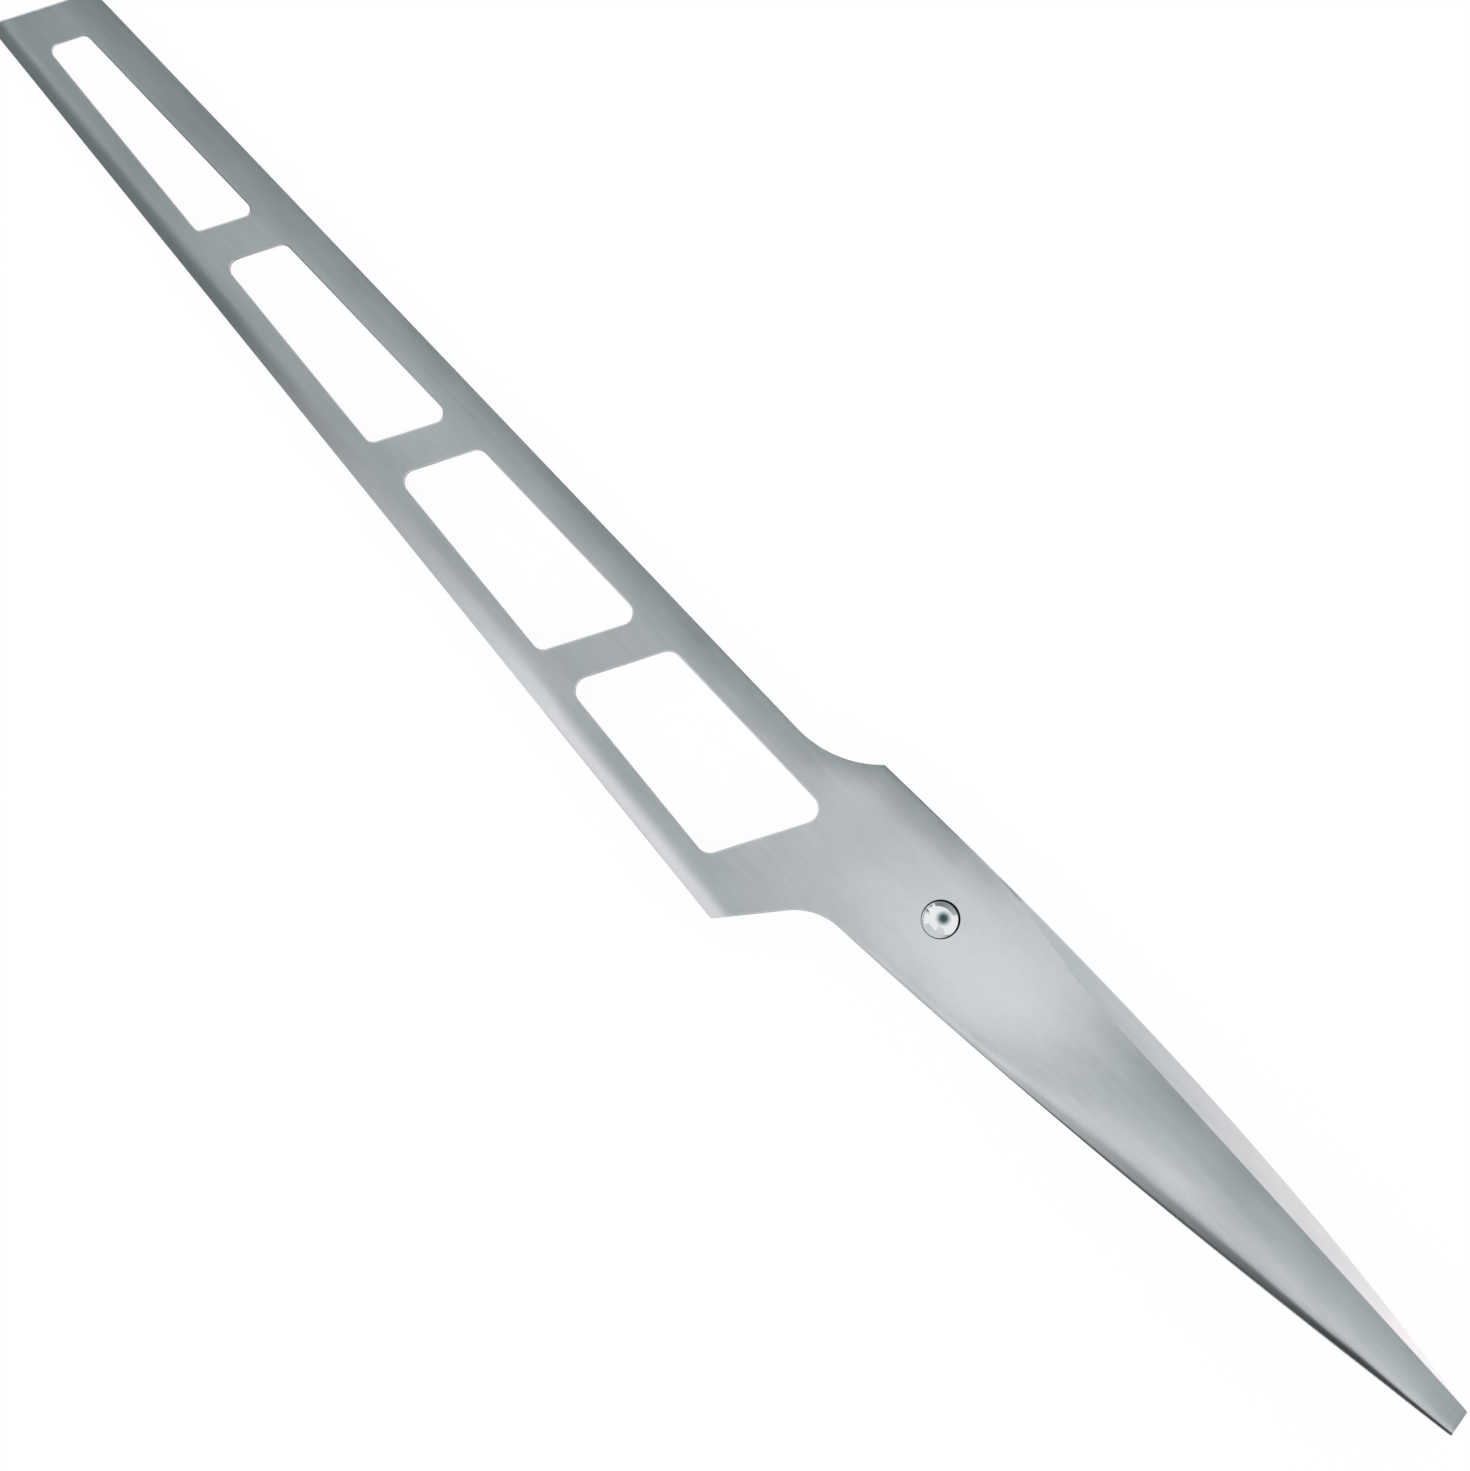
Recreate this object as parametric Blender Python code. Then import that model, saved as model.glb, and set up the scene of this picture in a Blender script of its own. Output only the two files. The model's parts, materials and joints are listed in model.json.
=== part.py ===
"""Soft-cheese knife: a windowed steel blade in a hollow steel handle.

The knife is modelled in its own frame, in metres: +X runs along the spine from the tip to the butt, +Y points
out of the spine, and Z = 0 is the mid-plane of the blade. An empty then lays it on its back on a table.
"""

import math

import bmesh
import bpy
from mathutils import Matrix, Vector

# Blade plate
BLADE_LENGTH = 0.1705  # tip corner to shoulder corner
PLATE_THICKNESS = 0.0022
TIP_DEPTH = 0.0147  # spine to cutting edge at the tip
HEEL_DEPTH = 0.02865  # spine to cutting edge at the heel
HEEL_SETBACK = 0.0013  # the heel corner lies this far ahead of the shoulder corner
END_LEAN_DEG = 26.0  # lean of the tip end and of the crossbars
TRAILING_LEAN_DEG = 37.5  # lean of the short edge behind the heel
TIP_CORNER_RADIUS = 0.0008
HEEL_CORNER_RADIUS = 0.0004
THROAT_RADIUS = 0.0098  # fillet between the trailing edge and the belly of the handle
SHOULDER_RADIUS = 0.0175  # concave rise from the spine to the shoulder corner
SHOULDER_RISE = 0.0056

# Ground cutting edge, on both sides of the plate
EDGE_THICKNESS = 0.0003
GRIND_AT_TIP = 0.0006
GRIND_AT_HEEL = 0.0027

# Windows through the blade
WINDOW_COUNT = 4
SPINE_RAIL = 0.0053
EDGE_RAIL_AT_TIP = 0.0046
EDGE_RAIL_AT_HEEL = 0.0052
TIP_BAR = 0.00655
CROSSBAR = 0.00635
WINDOW_SHORTENING = 0.0008  # each window is this much shorter than the one before it
LAST_WINDOW_INSET = 0.0001  # upper rear corner of the last window, ahead of the shoulder corner
FIRST_CORNER_RADIUS = 0.0011
CORNER_RADIUS_STEP = 0.00037

# Handle outline, seen from the side
HANDLE_LENGTH = 0.1287  # shoulder corner to butt
BOLSTER_LENGTH = 0.0155  # solid steel between the shoulder corner and the hollow handle
TOP_FULLNESS = 0.0076  # height over the spine that the top line is drawn towards
BUTT_TOP = 0.0018  # height of the butt's upper corner over the spine
BELLY_DEPTH = 0.01675  # belly below the spine, level with the shoulder corner
BELLY_FULLNESS = 0.0127  # depth that the belly line is drawn towards
BUTT_BELLY = 0.0024  # belly below the spine at the butt
BUTT_LEAN_DEG = 12.0

# Handle thickness and section
BUTT_WIDTH = 0.0166
FLARE_SETBACK = 0.0006  # the thickening starts this far behind the shoulder corner
FLARE_EASE = 0.008  # length over which the even taper to the butt sets in
SWELL_RISE = 0.0038  # what the swell behind the bolster adds to each side, on top of the taper
SWELL_LENGTH = 0.069
RIDGE_WIDTH = 0.0044  # flat along the top of the handle
FACET_LEAST = 0.0005  # the flat stays at least this far inside each side of the handle
CREASE_SETBACK = 0.019  # the side crease leaves the top edge this far behind the shoulder corner
CREASE_EASE = 0.028
CREASE_FRONT = 0.0051  # crease line over the spine at the shoulder corner
CREASE_BUTT = 0.0019
BELLY_POWER_FRONT = 10.0  # section of the belly: a high power is square, 2 is an ellipse
BELLY_POWER_GRIP = 5.5
BELLY_POWER_BUTT = 14.0
BELLY_ROLL_SETBACK = 0.0295  # the belly starts to round off this far behind the shoulder corner
BELLY_ROLL_EASE = 0.036
CROWN_SLOPE = 0.15  # in the grip the side face leans in by this slope at the belly, growing from the crease

# Hollow of the handle and the tang inside it
SHELL_WALL = 0.0012
SHELL_RIM = 0.0022  # width of the land where the shells meet
BUTT_SOLID = 0.014
TANG_THICKNESS = 0.0015
TANG_LENGTH = 0.048
TANG_CORNER_RADIUS = 0.0035
TANG_ROOT = 0.004  # overlap of tang and bolster inside the blade's own steel

# Bead trapped in the tang
BEAD_DIAMETER = 0.0074
BEAD_SETBACK = 0.0224  # behind the shoulder corner
BEAD_DEPTH = 0.0043  # below the spine

# Welds and fits
WELD_WIDTH = 0.0012
WELD_DEPTH = 0.0010
FIT_GAP = 0.0002
SEAM_GAP = 0.0003  # between the lands of the two shells

# Mesh resolution
ARC_STEPS = 10
BELLY_STEPS = 12
FACET_STEPS = 2
HOLLOW_STEPS = 8
STATION_COUNT = 26
BEAD_SEGMENTS = 36
SMOOTH_ANGLE_DEG = 25.0

# Places worked out from the sizes
JOINT_X = BLADE_LENGTH + BOLSTER_LENGTH
BUTT_X = BLADE_LENGTH + HANDLE_LENGTH
HEEL_X = BLADE_LENGTH - HEEL_SETBACK
FLARE_X = BLADE_LENGTH + FLARE_SETBACK
CREASE_X = BLADE_LENGTH + CREASE_SETBACK
BELLY_ROLL_X = BLADE_LENGTH + BELLY_ROLL_SETBACK
WELD_RING_X = JOINT_X + FIT_GAP
SHELL_X = WELD_RING_X + WELD_WIDTH + FIT_GAP
TANG_END_X = JOINT_X + TANG_LENGTH
HOLLOW_END_X = BUTT_X - BUTT_SOLID
END_LEAN = math.tan(math.radians(END_LEAN_DEG))
PLATE_HALF = PLATE_THICKNESS / 2
TANG_HALF = TANG_THICKNESS / 2
BUTT_HALF = BUTT_WIDTH / 2
WELD_HALF = WELD_WIDTH / 2
GROOVE_HALF = WELD_HALF + FIT_GAP
GROOVE_DEPTH = WELD_DEPTH + FIT_GAP
BEAD_CENTRE = Vector((BLADE_LENGTH + BEAD_SETBACK, -BEAD_DEPTH, 0.0))


def mix(a, b, t):
    """Value at share t of the way from a to b."""
    return a + (b - a) * t


def ease(t):
    """Smooth step from 0 to 1."""
    t = min(max(t, 0.0), 1.0)
    return t * t * (3 - 2 * t)


def drawn_curve(controls, t):
    """Bezier curve of any degree through the first and last control values."""
    row = list(controls)
    while len(row) > 1:
        row = [mix(a, b, t) for a, b in zip(row, row[1:])]
    return row[0]


# Lines of the blade


def edge_y(x):
    """Cutting edge."""
    return -mix(TIP_DEPTH, HEEL_DEPTH, x / HEEL_X)


def window_floor_y(x):
    """Lower side of the windows."""
    return edge_y(x) + mix(EDGE_RAIL_AT_TIP, EDGE_RAIL_AT_HEEL, x / HEEL_X)


def grind_width(x):
    """Width of the ground bevel."""
    return mix(GRIND_AT_TIP, GRIND_AT_HEEL, x / HEEL_X)


# Lines of the handle


def handle_share(x):
    """Share of the way from the shoulder corner to the butt."""
    return (x - BLADE_LENGTH) / HANDLE_LENGTH


def top_y(x):
    """Top line of the handle."""
    return drawn_curve((SHOULDER_RISE, TOP_FULLNESS, TOP_FULLNESS, BUTT_TOP), handle_share(x))


def belly_y(x):
    """Belly line of the handle."""
    return -drawn_curve((BELLY_DEPTH, BELLY_FULLNESS, BUTT_BELLY), handle_share(x))


def crease_y(x):
    """Crease between the main side face and the sloping top facet."""
    line = mix(CREASE_FRONT, CREASE_BUTT, handle_share(x))
    return mix(top_y(x), min(line, top_y(x)), ease((x - CREASE_X) / CREASE_EASE))


def half_thickness(x):
    """Half the thickness of the knife at its widest height."""
    run = max(0.0, x - FLARE_X)
    eased = min(run, FLARE_EASE)
    rise = eased * eased / (2 * FLARE_EASE) + run - eased
    full_rise = BUTT_X - FLARE_X - FLARE_EASE / 2
    swell = SWELL_RISE * ease(run / SWELL_LENGTH)
    return mix(PLATE_HALF, BUTT_HALF - SWELL_RISE, rise / full_rise) + swell


def ridge_half(x):
    """Half the width of the flat along the top."""
    return min(RIDGE_WIDTH / 2, half_thickness(x) - FACET_LEAST)


def grip_roundness(x):
    """How far the flat front of the handle has changed to its rounded grip."""
    return ease((x - BELLY_ROLL_X) / BELLY_ROLL_EASE)


def butt_flatness(x):
    """How far the rounded grip has changed to the flat-sided butt, which the knife lies on."""
    grip_x = BELLY_ROLL_X + BELLY_ROLL_EASE
    return (max(0.0, x - grip_x) / (BUTT_X - grip_x)) ** 3


def belly_power(x):
    """Squareness of the belly's section."""
    grip_power = 1 / mix(1 / BELLY_POWER_FRONT, 1 / BELLY_POWER_GRIP, grip_roundness(x))
    return mix(grip_power, BELLY_POWER_BUTT, butt_flatness(x))


def crowned_half(x, drop):
    """Half-thickness of the crowned side face at a share of the way from the crease to the belly."""
    slope = CROWN_SLOPE * grip_roundness(x) * (1 - butt_flatness(x))
    return half_thickness(x) - slope * (crease_y(x) - belly_y(x)) * drop**2 / 2


def side_z(x, y):
    """Half-thickness of the handle at height y, measured to its outer skin."""
    crease = crease_y(x)
    if y > crease:
        return mix(ridge_half(x), half_thickness(x), (top_y(x) - y) / (top_y(x) - crease))
    drop = min(1.0, (crease - y) / (crease - belly_y(x)))
    power = belly_power(x)
    return crowned_half(x, drop) * (1 - drop**power) ** (1 / power)


def hollow_z(x, y):
    """Half-depth of the hollow at height y, one wall inside the outer skin and clear of the tang."""
    probe = SHELL_WALL / 4
    slope = (side_z(x, y + probe) - side_z(x, y - probe)) / (2 * probe)
    return max(TANG_HALF + FIT_GAP, side_z(x, y) - SHELL_WALL * math.hypot(1, slope))


def rim_width(x):
    """Width of the shells' mating land, which narrows with the handle."""
    narrowest = GROOVE_DEPTH + FIT_GAP
    return max(narrowest, min(SHELL_RIM, (top_y(x) - belly_y(x)) / 3))


def butt_x(x, y):
    """X of a handle point whose station is x: the last stretch leans with the butt's end face."""
    lean = math.tan(math.radians(BUTT_LEAN_DEG)) * ease((x - HOLLOW_END_X) / BUTT_SOLID)
    return x - lean * (y - (BUTT_TOP - BUTT_BELLY) / 2)


# Outlines in the mid-plane


def arc(centre, radius, start, end, steps=ARC_STEPS):
    """Points on a circle from the start angle to the end angle."""
    angles = [mix(start, end, i / steps) for i in range(steps + 1)]
    return [centre + radius * Vector((math.cos(a), math.sin(a))) for a in angles]


def rounded(corners):
    """Closed outline through (point, radius) corners, each rounded by an arc of its radius."""
    outline = []
    for i, (corner, radius) in enumerate(corners):
        before = (corners[i - 1][0] - corner).normalized()
        after = (corners[(i + 1) % len(corners)][0] - corner).normalized()
        half_turn = before.angle(after) / 2
        if radius == 0 or half_turn > math.radians(89.9):
            outline.append(corner)
            continue
        reach = radius / math.tan(half_turn)
        middle = corner + (before + after).normalized() * (radius / math.sin(half_turn))
        first = corner + before * reach - middle
        last = corner + after * reach - middle
        sweep = first.angle_signed(last)
        start = math.atan2(first.y, first.x)
        outline += arc(middle, radius, start, start - sweep)
    return outline


def blade_outline():
    """Blade and bolster, from the tip round to the joint with the handle and back."""
    tip_top = Vector((END_LEAN * TIP_DEPTH, 0.0))
    shoulder_turn = math.acos(1 - SHOULDER_RISE / SHOULDER_RADIUS)
    rise_centre = Vector((BLADE_LENGTH - SHOULDER_RADIUS * math.sin(shoulder_turn), SHOULDER_RADIUS))
    down = -math.pi / 2
    rise = arc(rise_centre, SHOULDER_RADIUS, down, down + shoulder_turn)
    top = [mix(BLADE_LENGTH, JOINT_X, i / ARC_STEPS) for i in range(1, ARC_STEPS + 1)]
    belly_slope = (belly_y(JOINT_X) - belly_y(BLADE_LENGTH)) / BOLSTER_LENGTH
    heel = Vector((HEEL_X, edge_y(HEEL_X)))
    lean = math.tan(math.radians(TRAILING_LEAN_DEG))
    belly_under_heel = belly_y(JOINT_X) + belly_slope * (heel.x - JOINT_X)
    throat_rise = (belly_under_heel - heel.y) / (1 - belly_slope * lean)
    throat = heel + Vector((lean * throat_rise, throat_rise))
    sharp = rise + [Vector((x, top_y(x))) for x in top] + [Vector((JOINT_X, belly_y(JOINT_X)))]
    return rounded(
        [(tip_top, TIP_CORNER_RADIUS)]
        + [(point, 0) for point in sharp]
        + [(throat, THROAT_RADIUS), (heel, HEEL_CORNER_RADIUS)]
        + [(Vector((0.0, edge_y(0.0))), TIP_CORNER_RADIUS)]
    )


def window_outlines():
    """Leaning windows between the two rails, each a little shorter and rounder than the one before."""
    upper = -SPINE_RAIL
    start = END_LEAN * (TIP_DEPTH - SPINE_RAIL) + TIP_BAR
    open_length = BLADE_LENGTH - LAST_WINDOW_INSET - start - (WINDOW_COUNT - 1) * CROSSBAR
    length = open_length / WINDOW_COUNT + WINDOW_SHORTENING * (WINDOW_COUNT - 1) / 2
    floor_slope = (window_floor_y(HEEL_X) - window_floor_y(0.0)) / HEEL_X

    def floor_corner(x):
        depth = (window_floor_y(x) - upper) / (1 - floor_slope * END_LEAN)
        return Vector((x + END_LEAN * depth, upper + depth))

    outlines = []
    for i in range(WINDOW_COUNT):
        end = start + length - i * WINDOW_SHORTENING
        radius = FIRST_CORNER_RADIUS + i * CORNER_RADIUS_STEP
        corners = [Vector((start, upper)), Vector((end, upper)), floor_corner(end), floor_corner(start)]
        outlines.append(rounded([(corner, radius) for corner in corners]))
        start = end + CROSSBAR
    return outlines


def tang_edges(x):
    """Lowest and highest Y of the tang at x, clear of the shells' lands."""
    inset = rim_width(x) + FIT_GAP
    return belly_y(x) + inset, top_y(x) - inset


# Mesh tools


def add_loop(bm, points):
    """Closed loop of edges through 3D points."""
    verts = [bm.verts.new(point) for point in points]
    return [bm.edges.new((a, b)) for a, b in zip(verts, verts[1:] + verts[:1])]


def flat_fill(outlines):
    """Face in the mid-plane bounded by the first outline, with the others as holes."""
    bm = bmesh.new()
    edges = [e for outline in outlines for e in add_loop(bm, [p.to_3d() for p in outline])]
    bmesh.ops.triangle_fill(bm, edges=edges, use_beauty=True)
    return bm


def cut_line(bm, point, direction):
    """Split the mesh along a line in the mid-plane."""
    normal = Vector((-direction.y, direction.x, 0.0))
    geom = bm.verts[:] + bm.edges[:] + bm.faces[:]
    bmesh.ops.bisect_plane(bm, geom=geom, plane_co=point, plane_no=normal)


def thicken(bm, half):
    """Turn a flat face into a solid whose half-thickness is half(x, y)."""
    lower = bm.verts[:]
    made = bmesh.ops.extrude_face_region(bm, geom=bm.faces[:])
    upper = [v for v in made["geom"] if isinstance(v, bmesh.types.BMVert)]
    for verts, side in ((lower, -1), (upper, 1)):
        for v in verts:
            v.co.z = side * half(v.co.x, v.co.y)


def skin(sections):
    """Solid through a row of closed sections with equal point counts."""
    bm = bmesh.new()
    loops = [add_loop(bm, section) for section in sections]
    for near, far in zip(loops, loops[1:]):
        bmesh.ops.bridge_loops(bm, edges=near + far)
    for end in (loops[0], loops[-1]):
        bmesh.ops.contextual_create(bm, geom=end)
    return bm


def steel(name, colour, roughness):
    """Plain metal material."""
    material = bpy.data.materials.new(name)
    material.use_nodes = True
    shader = material.node_tree.nodes["Principled BSDF"]
    shader.inputs["Base Color"].default_value = (*colour, 1.0)
    shader.inputs["Metallic"].default_value = 1.0
    shader.inputs["Roughness"].default_value = roughness
    material.diffuse_color = (*colour, 1.0)
    return material


def finish(name, bm, material=None):
    """Turn a bmesh into a named object."""
    bmesh.ops.recalc_face_normals(bm, faces=bm.faces[:])
    mesh = bpy.data.meshes.new(name)
    bm.to_mesh(mesh)
    bm.free()
    mesh.shade_smooth()
    mesh.set_sharp_from_angle(angle=math.radians(SMOOTH_ANGLE_DEG))
    piece = bpy.data.objects.new(name, mesh)
    bpy.context.scene.collection.objects.link(piece)
    if material:
        mesh.materials.append(material)
    return piece


def combine(piece, tool, operation):
    """Cut or join a piece with a hidden tool body."""
    tool.hide_render = True
    tool.display_type = "WIRE"
    boolean = piece.modifiers.new(tool.name, "BOOLEAN")
    boolean.operation = operation
    boolean.object = tool
    boolean.solver = "EXACT"


def bead_body(name, radius, material=None):
    """Ball of a radius at the bead's place."""
    bm = bmesh.new()
    place = Matrix.Translation(BEAD_CENTRE)
    rings = BEAD_SEGMENTS // 2
    bmesh.ops.create_uvsphere(bm, u_segments=BEAD_SEGMENTS, v_segments=rings, radius=radius, matrix=place)
    return finish(name, bm, material)


# Sub-parts


def plate_half(x, y):
    """Half-thickness of the blade: flat plate, ground edge and the bolster's swell."""
    off_edge = min(1.0, (y - edge_y(x)) / grind_width(x))
    return mix(EDGE_THICKNESS / 2, half_thickness(x), max(0.0, off_edge))


def make_tang():
    """Flat tongue that runs from inside the bolster into the hollow of the handle."""
    root_low, root_top = tang_edges(JOINT_X)
    end_low, end_top = tang_edges(TANG_END_X)
    root_x = JOINT_X - TANG_ROOT
    corners = [
        (Vector((root_x, root_low)), 0),
        (Vector((JOINT_X, root_low)), 0),
        (Vector((TANG_END_X, end_low)), TANG_CORNER_RADIUS),
        (Vector((TANG_END_X, end_top)), TANG_CORNER_RADIUS),
        (Vector((JOINT_X, root_top)), 0),
        (Vector((root_x, root_top)), 0),
    ]
    bm = flat_fill([rounded(corners)])
    thicken(bm, lambda x, y: TANG_HALF)
    return finish("tang_body", bm)


def make_bead_hole():
    """Round hole through the tang that the bead sits in."""
    bm = bmesh.new()
    radius = BEAD_DIAMETER / 2 + FIT_GAP
    bmesh.ops.create_cone(
        bm, cap_ends=True, segments=BEAD_SEGMENTS, radius1=radius, radius2=radius, depth=BEAD_DIAMETER,
        matrix=Matrix.Translation(BEAD_CENTRE),
    )
    return finish("bead_hole", bm)


def make_blade(material):
    """Blade, bolster and tang in one piece of steel."""
    bm = flat_fill([blade_outline()] + window_outlines())
    grind_tip = Vector((0.0, edge_y(0.0) + grind_width(0.0), 0.0))
    grind_heel = Vector((HEEL_X, edge_y(HEEL_X) + grind_width(HEEL_X), 0.0))
    cut_line(bm, grind_tip, grind_heel - grind_tip)
    for i in range(ARC_STEPS):
        across = Vector((mix(FLARE_X, JOINT_X, i / ARC_STEPS), 0.0, 0.0))
        cut_line(bm, across, Vector((0.0, 1.0, 0.0)))
    thicken(bm, plate_half)
    blade = finish("blade", bm, material)
    combine(blade, make_tang(), "UNION")
    combine(blade, make_bead_hole(), "DIFFERENCE")
    return blade


def outer_profile(x, start_z, end_z):
    """Outer skin of one side of the handle, from the ridge at start_z down to the belly at end_z."""
    top, crease, belly = top_y(x), crease_y(x), belly_y(x)
    widest, power = half_thickness(x), belly_power(x)
    facet = [i / FACET_STEPS for i in range(FACET_STEPS)]
    profile = [(top, start_z)]
    profile += [(mix(top, crease, t), mix(ridge_half(x), widest, t)) for t in facet]
    last_turn = math.acos((end_z / crowned_half(x, 1.0)) ** (power / 2))
    for i in range(BELLY_STEPS + 1):
        turn = last_turn * i / BELLY_STEPS
        drop, out = math.sin(turn) ** (2 / power), math.cos(turn) ** (2 / power)
        profile.append((mix(crease, belly, drop), crowned_half(x, drop) * out))
    return profile


def shell_section(x):
    """One half of the handle as solid steel, with the weld grooves notched into its mating face."""
    top, belly, land = top_y(x), belly_y(x), SEAM_GAP / 2
    skin_side = outer_profile(x, GROOVE_HALF, GROOVE_HALF)
    below = [(belly + GROOVE_DEPTH, GROOVE_HALF), (belly + GROOVE_DEPTH, land)]
    above = [(top - GROOVE_DEPTH, land), (top - GROOVE_DEPTH, GROOVE_HALF)]
    return skin_side + below + above


def hollow_section(x):
    """Hollow of one half, carried past the mating face."""
    low, high = belly_y(x) + rim_width(x), top_y(x) - rim_width(x)
    heights = [mix(low, high, i / HOLLOW_STEPS) for i in range(HOLLOW_STEPS + 1)]
    return [(y, hollow_z(x, y)) for y in heights] + [(high, -SHELL_WALL), (low, -SHELL_WALL)]


def stations(start, end):
    """Evenly spaced X of the sections between two places on the handle."""
    return [mix(start, end, i / (STATION_COUNT - 1)) for i in range(STATION_COUNT)]


def make_shell(name, side, material):
    """Pressed half of the handle on one side of the mid-plane, hollow and seated round the bead."""

    def placed(x, section):
        return [Vector((butt_x(x, y), y, side * z)) for y, z in section]

    body = [placed(x, shell_section(x)) for x in stations(SHELL_X, BUTT_X)]
    hollow = [placed(x, hollow_section(x)) for x in stations(JOINT_X, HOLLOW_END_X)]
    shell = finish(name, skin(body), material)
    combine(shell, finish(f"{name}_hollow", skin(hollow)), "DIFFERENCE")
    combine(shell, bead_body(f"{name}_seat", BEAD_DIAMETER / 2 + FIT_GAP), "DIFFERENCE")
    return shell


def make_bolster_weld(material):
    """Weld ring between the bolster and the two shells, with the tang passing through it."""
    sections = []
    for x in (WELD_RING_X, WELD_RING_X + WELD_WIDTH):
        half = outer_profile(x, WELD_HALF, WELD_HALF)
        loop = half + [(y, -z) for y, z in reversed(half)]
        sections.append([Vector((x, y, z)) for y, z in loop])
    ring = finish("bolster_weld", skin(sections), material)
    slot = bmesh.new()
    low, high = tang_edges(JOINT_X)
    size = Vector((4 * WELD_WIDTH, high - low + 2 * FIT_GAP, TANG_THICKNESS + 2 * FIT_GAP))
    place = Matrix.Translation((WELD_RING_X, (low + high) / 2, 0.0)) @ Matrix.Diagonal(size.to_4d())
    bmesh.ops.create_cube(slot, size=1.0, matrix=place)
    combine(ring, finish("tang_slot", slot), "DIFFERENCE")
    return ring


def make_seam_weld(name, line, inward, material):
    """Weld strip along the ridge or the belly, flush with the shells' outer edges."""
    sections = []
    for x in stations(SHELL_X, BUTT_X):
        outer = line(x)
        inner = outer + inward * WELD_DEPTH
        loop = [(outer, WELD_HALF), (outer, -WELD_HALF), (inner, -WELD_HALF), (inner, WELD_HALF)]
        sections.append([Vector((butt_x(x, y), y, z)) for y, z in loop])
    return finish(name, skin(sections), material)


def lay_down(pieces):
    """Parent the pieces to an empty that lays the knife on its back, centred over the origin."""
    knife = bpy.data.objects.new("knife", None)
    bpy.context.scene.collection.objects.link(knife)
    tilt = math.atan2(BUTT_HALF - PLATE_HALF, BUTT_X)
    turn = Matrix.Rotation(-tilt, 4, "Y")
    points = [turn @ v.co for piece in pieces for v in piece.data.vertices]
    low = Vector([min(p[i] for p in points) for i in range(3)])
    high = Vector([max(p[i] for p in points) for i in range(3)])
    knife.location = (-(low.x + high.x) / 2, -(low.y + high.y) / 2, -low.z)
    knife.rotation_euler = turn.to_euler()
    for piece in bpy.context.scene.objects:
        if piece is not knife:
            piece.parent = knife


def main():
    """Build every sub-part of the knife and lay it down."""
    for old in list(bpy.data.objects):
        bpy.data.objects.remove(old)
    blade_steel = steel("blade_steel", (0.58, 0.60, 0.61), 0.38)
    shell_steel = steel("shell_steel", (0.62, 0.64, 0.65), 0.36)
    weld_steel = steel("weld_steel", (0.60, 0.62, 0.63), 0.40)
    bead_steel = steel("bead_steel", (0.82, 0.83, 0.84), 0.06)
    pieces = [
        make_blade(blade_steel),
        make_shell("handle_shell_front", 1, shell_steel),
        make_shell("handle_shell_back", -1, shell_steel),
        bead_body("thumb_bead", BEAD_DIAMETER / 2, bead_steel),
        make_bolster_weld(weld_steel),
        make_seam_weld("spine_seam_weld", top_y, -1, weld_steel),
        make_seam_weld("belly_seam_weld", belly_y, 1, weld_steel),
    ]
    lay_down(pieces)


main()
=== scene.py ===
"""Looks of a soft-cheese knife: satin steel, a polished bead and a white studio.

Shapes are worked out in the knife's own frame, in metres: +X runs along the spine from the tip to
the butt, +Y points out of the spine and Z = 0 is the mid-plane of the blade. KnifeFrame carries
them to where the knife lies.
"""

import json
import logging
import math
from collections.abc import Callable, Sequence
from dataclasses import dataclass
from enum import Enum
from typing import Any, Self

import bmesh
import bpy
from bmesh.types import BMEdge, BMesh, BMFace, BMVert
from mathutils import Matrix, Vector


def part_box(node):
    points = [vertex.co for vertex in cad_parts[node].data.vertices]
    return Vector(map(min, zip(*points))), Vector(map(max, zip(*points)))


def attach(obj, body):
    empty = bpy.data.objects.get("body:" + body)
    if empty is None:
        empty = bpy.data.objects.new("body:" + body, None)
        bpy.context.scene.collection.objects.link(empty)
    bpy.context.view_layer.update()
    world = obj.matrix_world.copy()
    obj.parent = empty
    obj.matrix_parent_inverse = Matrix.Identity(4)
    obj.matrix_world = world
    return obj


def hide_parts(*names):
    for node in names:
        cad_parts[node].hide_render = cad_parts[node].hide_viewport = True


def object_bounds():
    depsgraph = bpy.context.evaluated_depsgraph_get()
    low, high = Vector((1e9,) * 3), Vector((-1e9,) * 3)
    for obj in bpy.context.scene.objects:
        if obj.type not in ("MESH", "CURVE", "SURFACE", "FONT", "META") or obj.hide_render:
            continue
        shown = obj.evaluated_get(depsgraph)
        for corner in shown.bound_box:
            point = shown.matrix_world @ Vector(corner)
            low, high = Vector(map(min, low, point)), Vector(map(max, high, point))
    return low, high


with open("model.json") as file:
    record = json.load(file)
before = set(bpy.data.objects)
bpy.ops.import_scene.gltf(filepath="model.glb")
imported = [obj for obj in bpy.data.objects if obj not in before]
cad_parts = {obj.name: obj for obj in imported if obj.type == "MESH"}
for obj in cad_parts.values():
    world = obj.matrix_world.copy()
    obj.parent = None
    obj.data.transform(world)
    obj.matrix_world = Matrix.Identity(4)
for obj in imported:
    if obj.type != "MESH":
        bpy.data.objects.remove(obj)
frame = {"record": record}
CAD_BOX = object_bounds()

LOG = logging.getLogger("knife")
BODY = "root"
SHARP_ANGLE = math.radians(50.0)
SPLIT_TOLERANCE = 1e-7
MERGE_DISTANCE = 1e-6
RIDGE_ROW = 1  # Index of the ridge's edge in a side profile.

Colour = tuple[float, float, float]
Place = tuple[float, float, float]
Profile = list[tuple[float, float]]

ALONG = Vector((1.0, 0.0, 0.0))
OUT = Vector((0.0, 1.0, 0.0))
UP = Vector((0.0, 0.0, 1.0))
WHITE: Colour = (1.0, 1.0, 1.0)


class Side(Enum):
    """Side of the mid-plane that a shell of the handle lies on."""

    FRONT = 1
    BACK = -1


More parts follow.
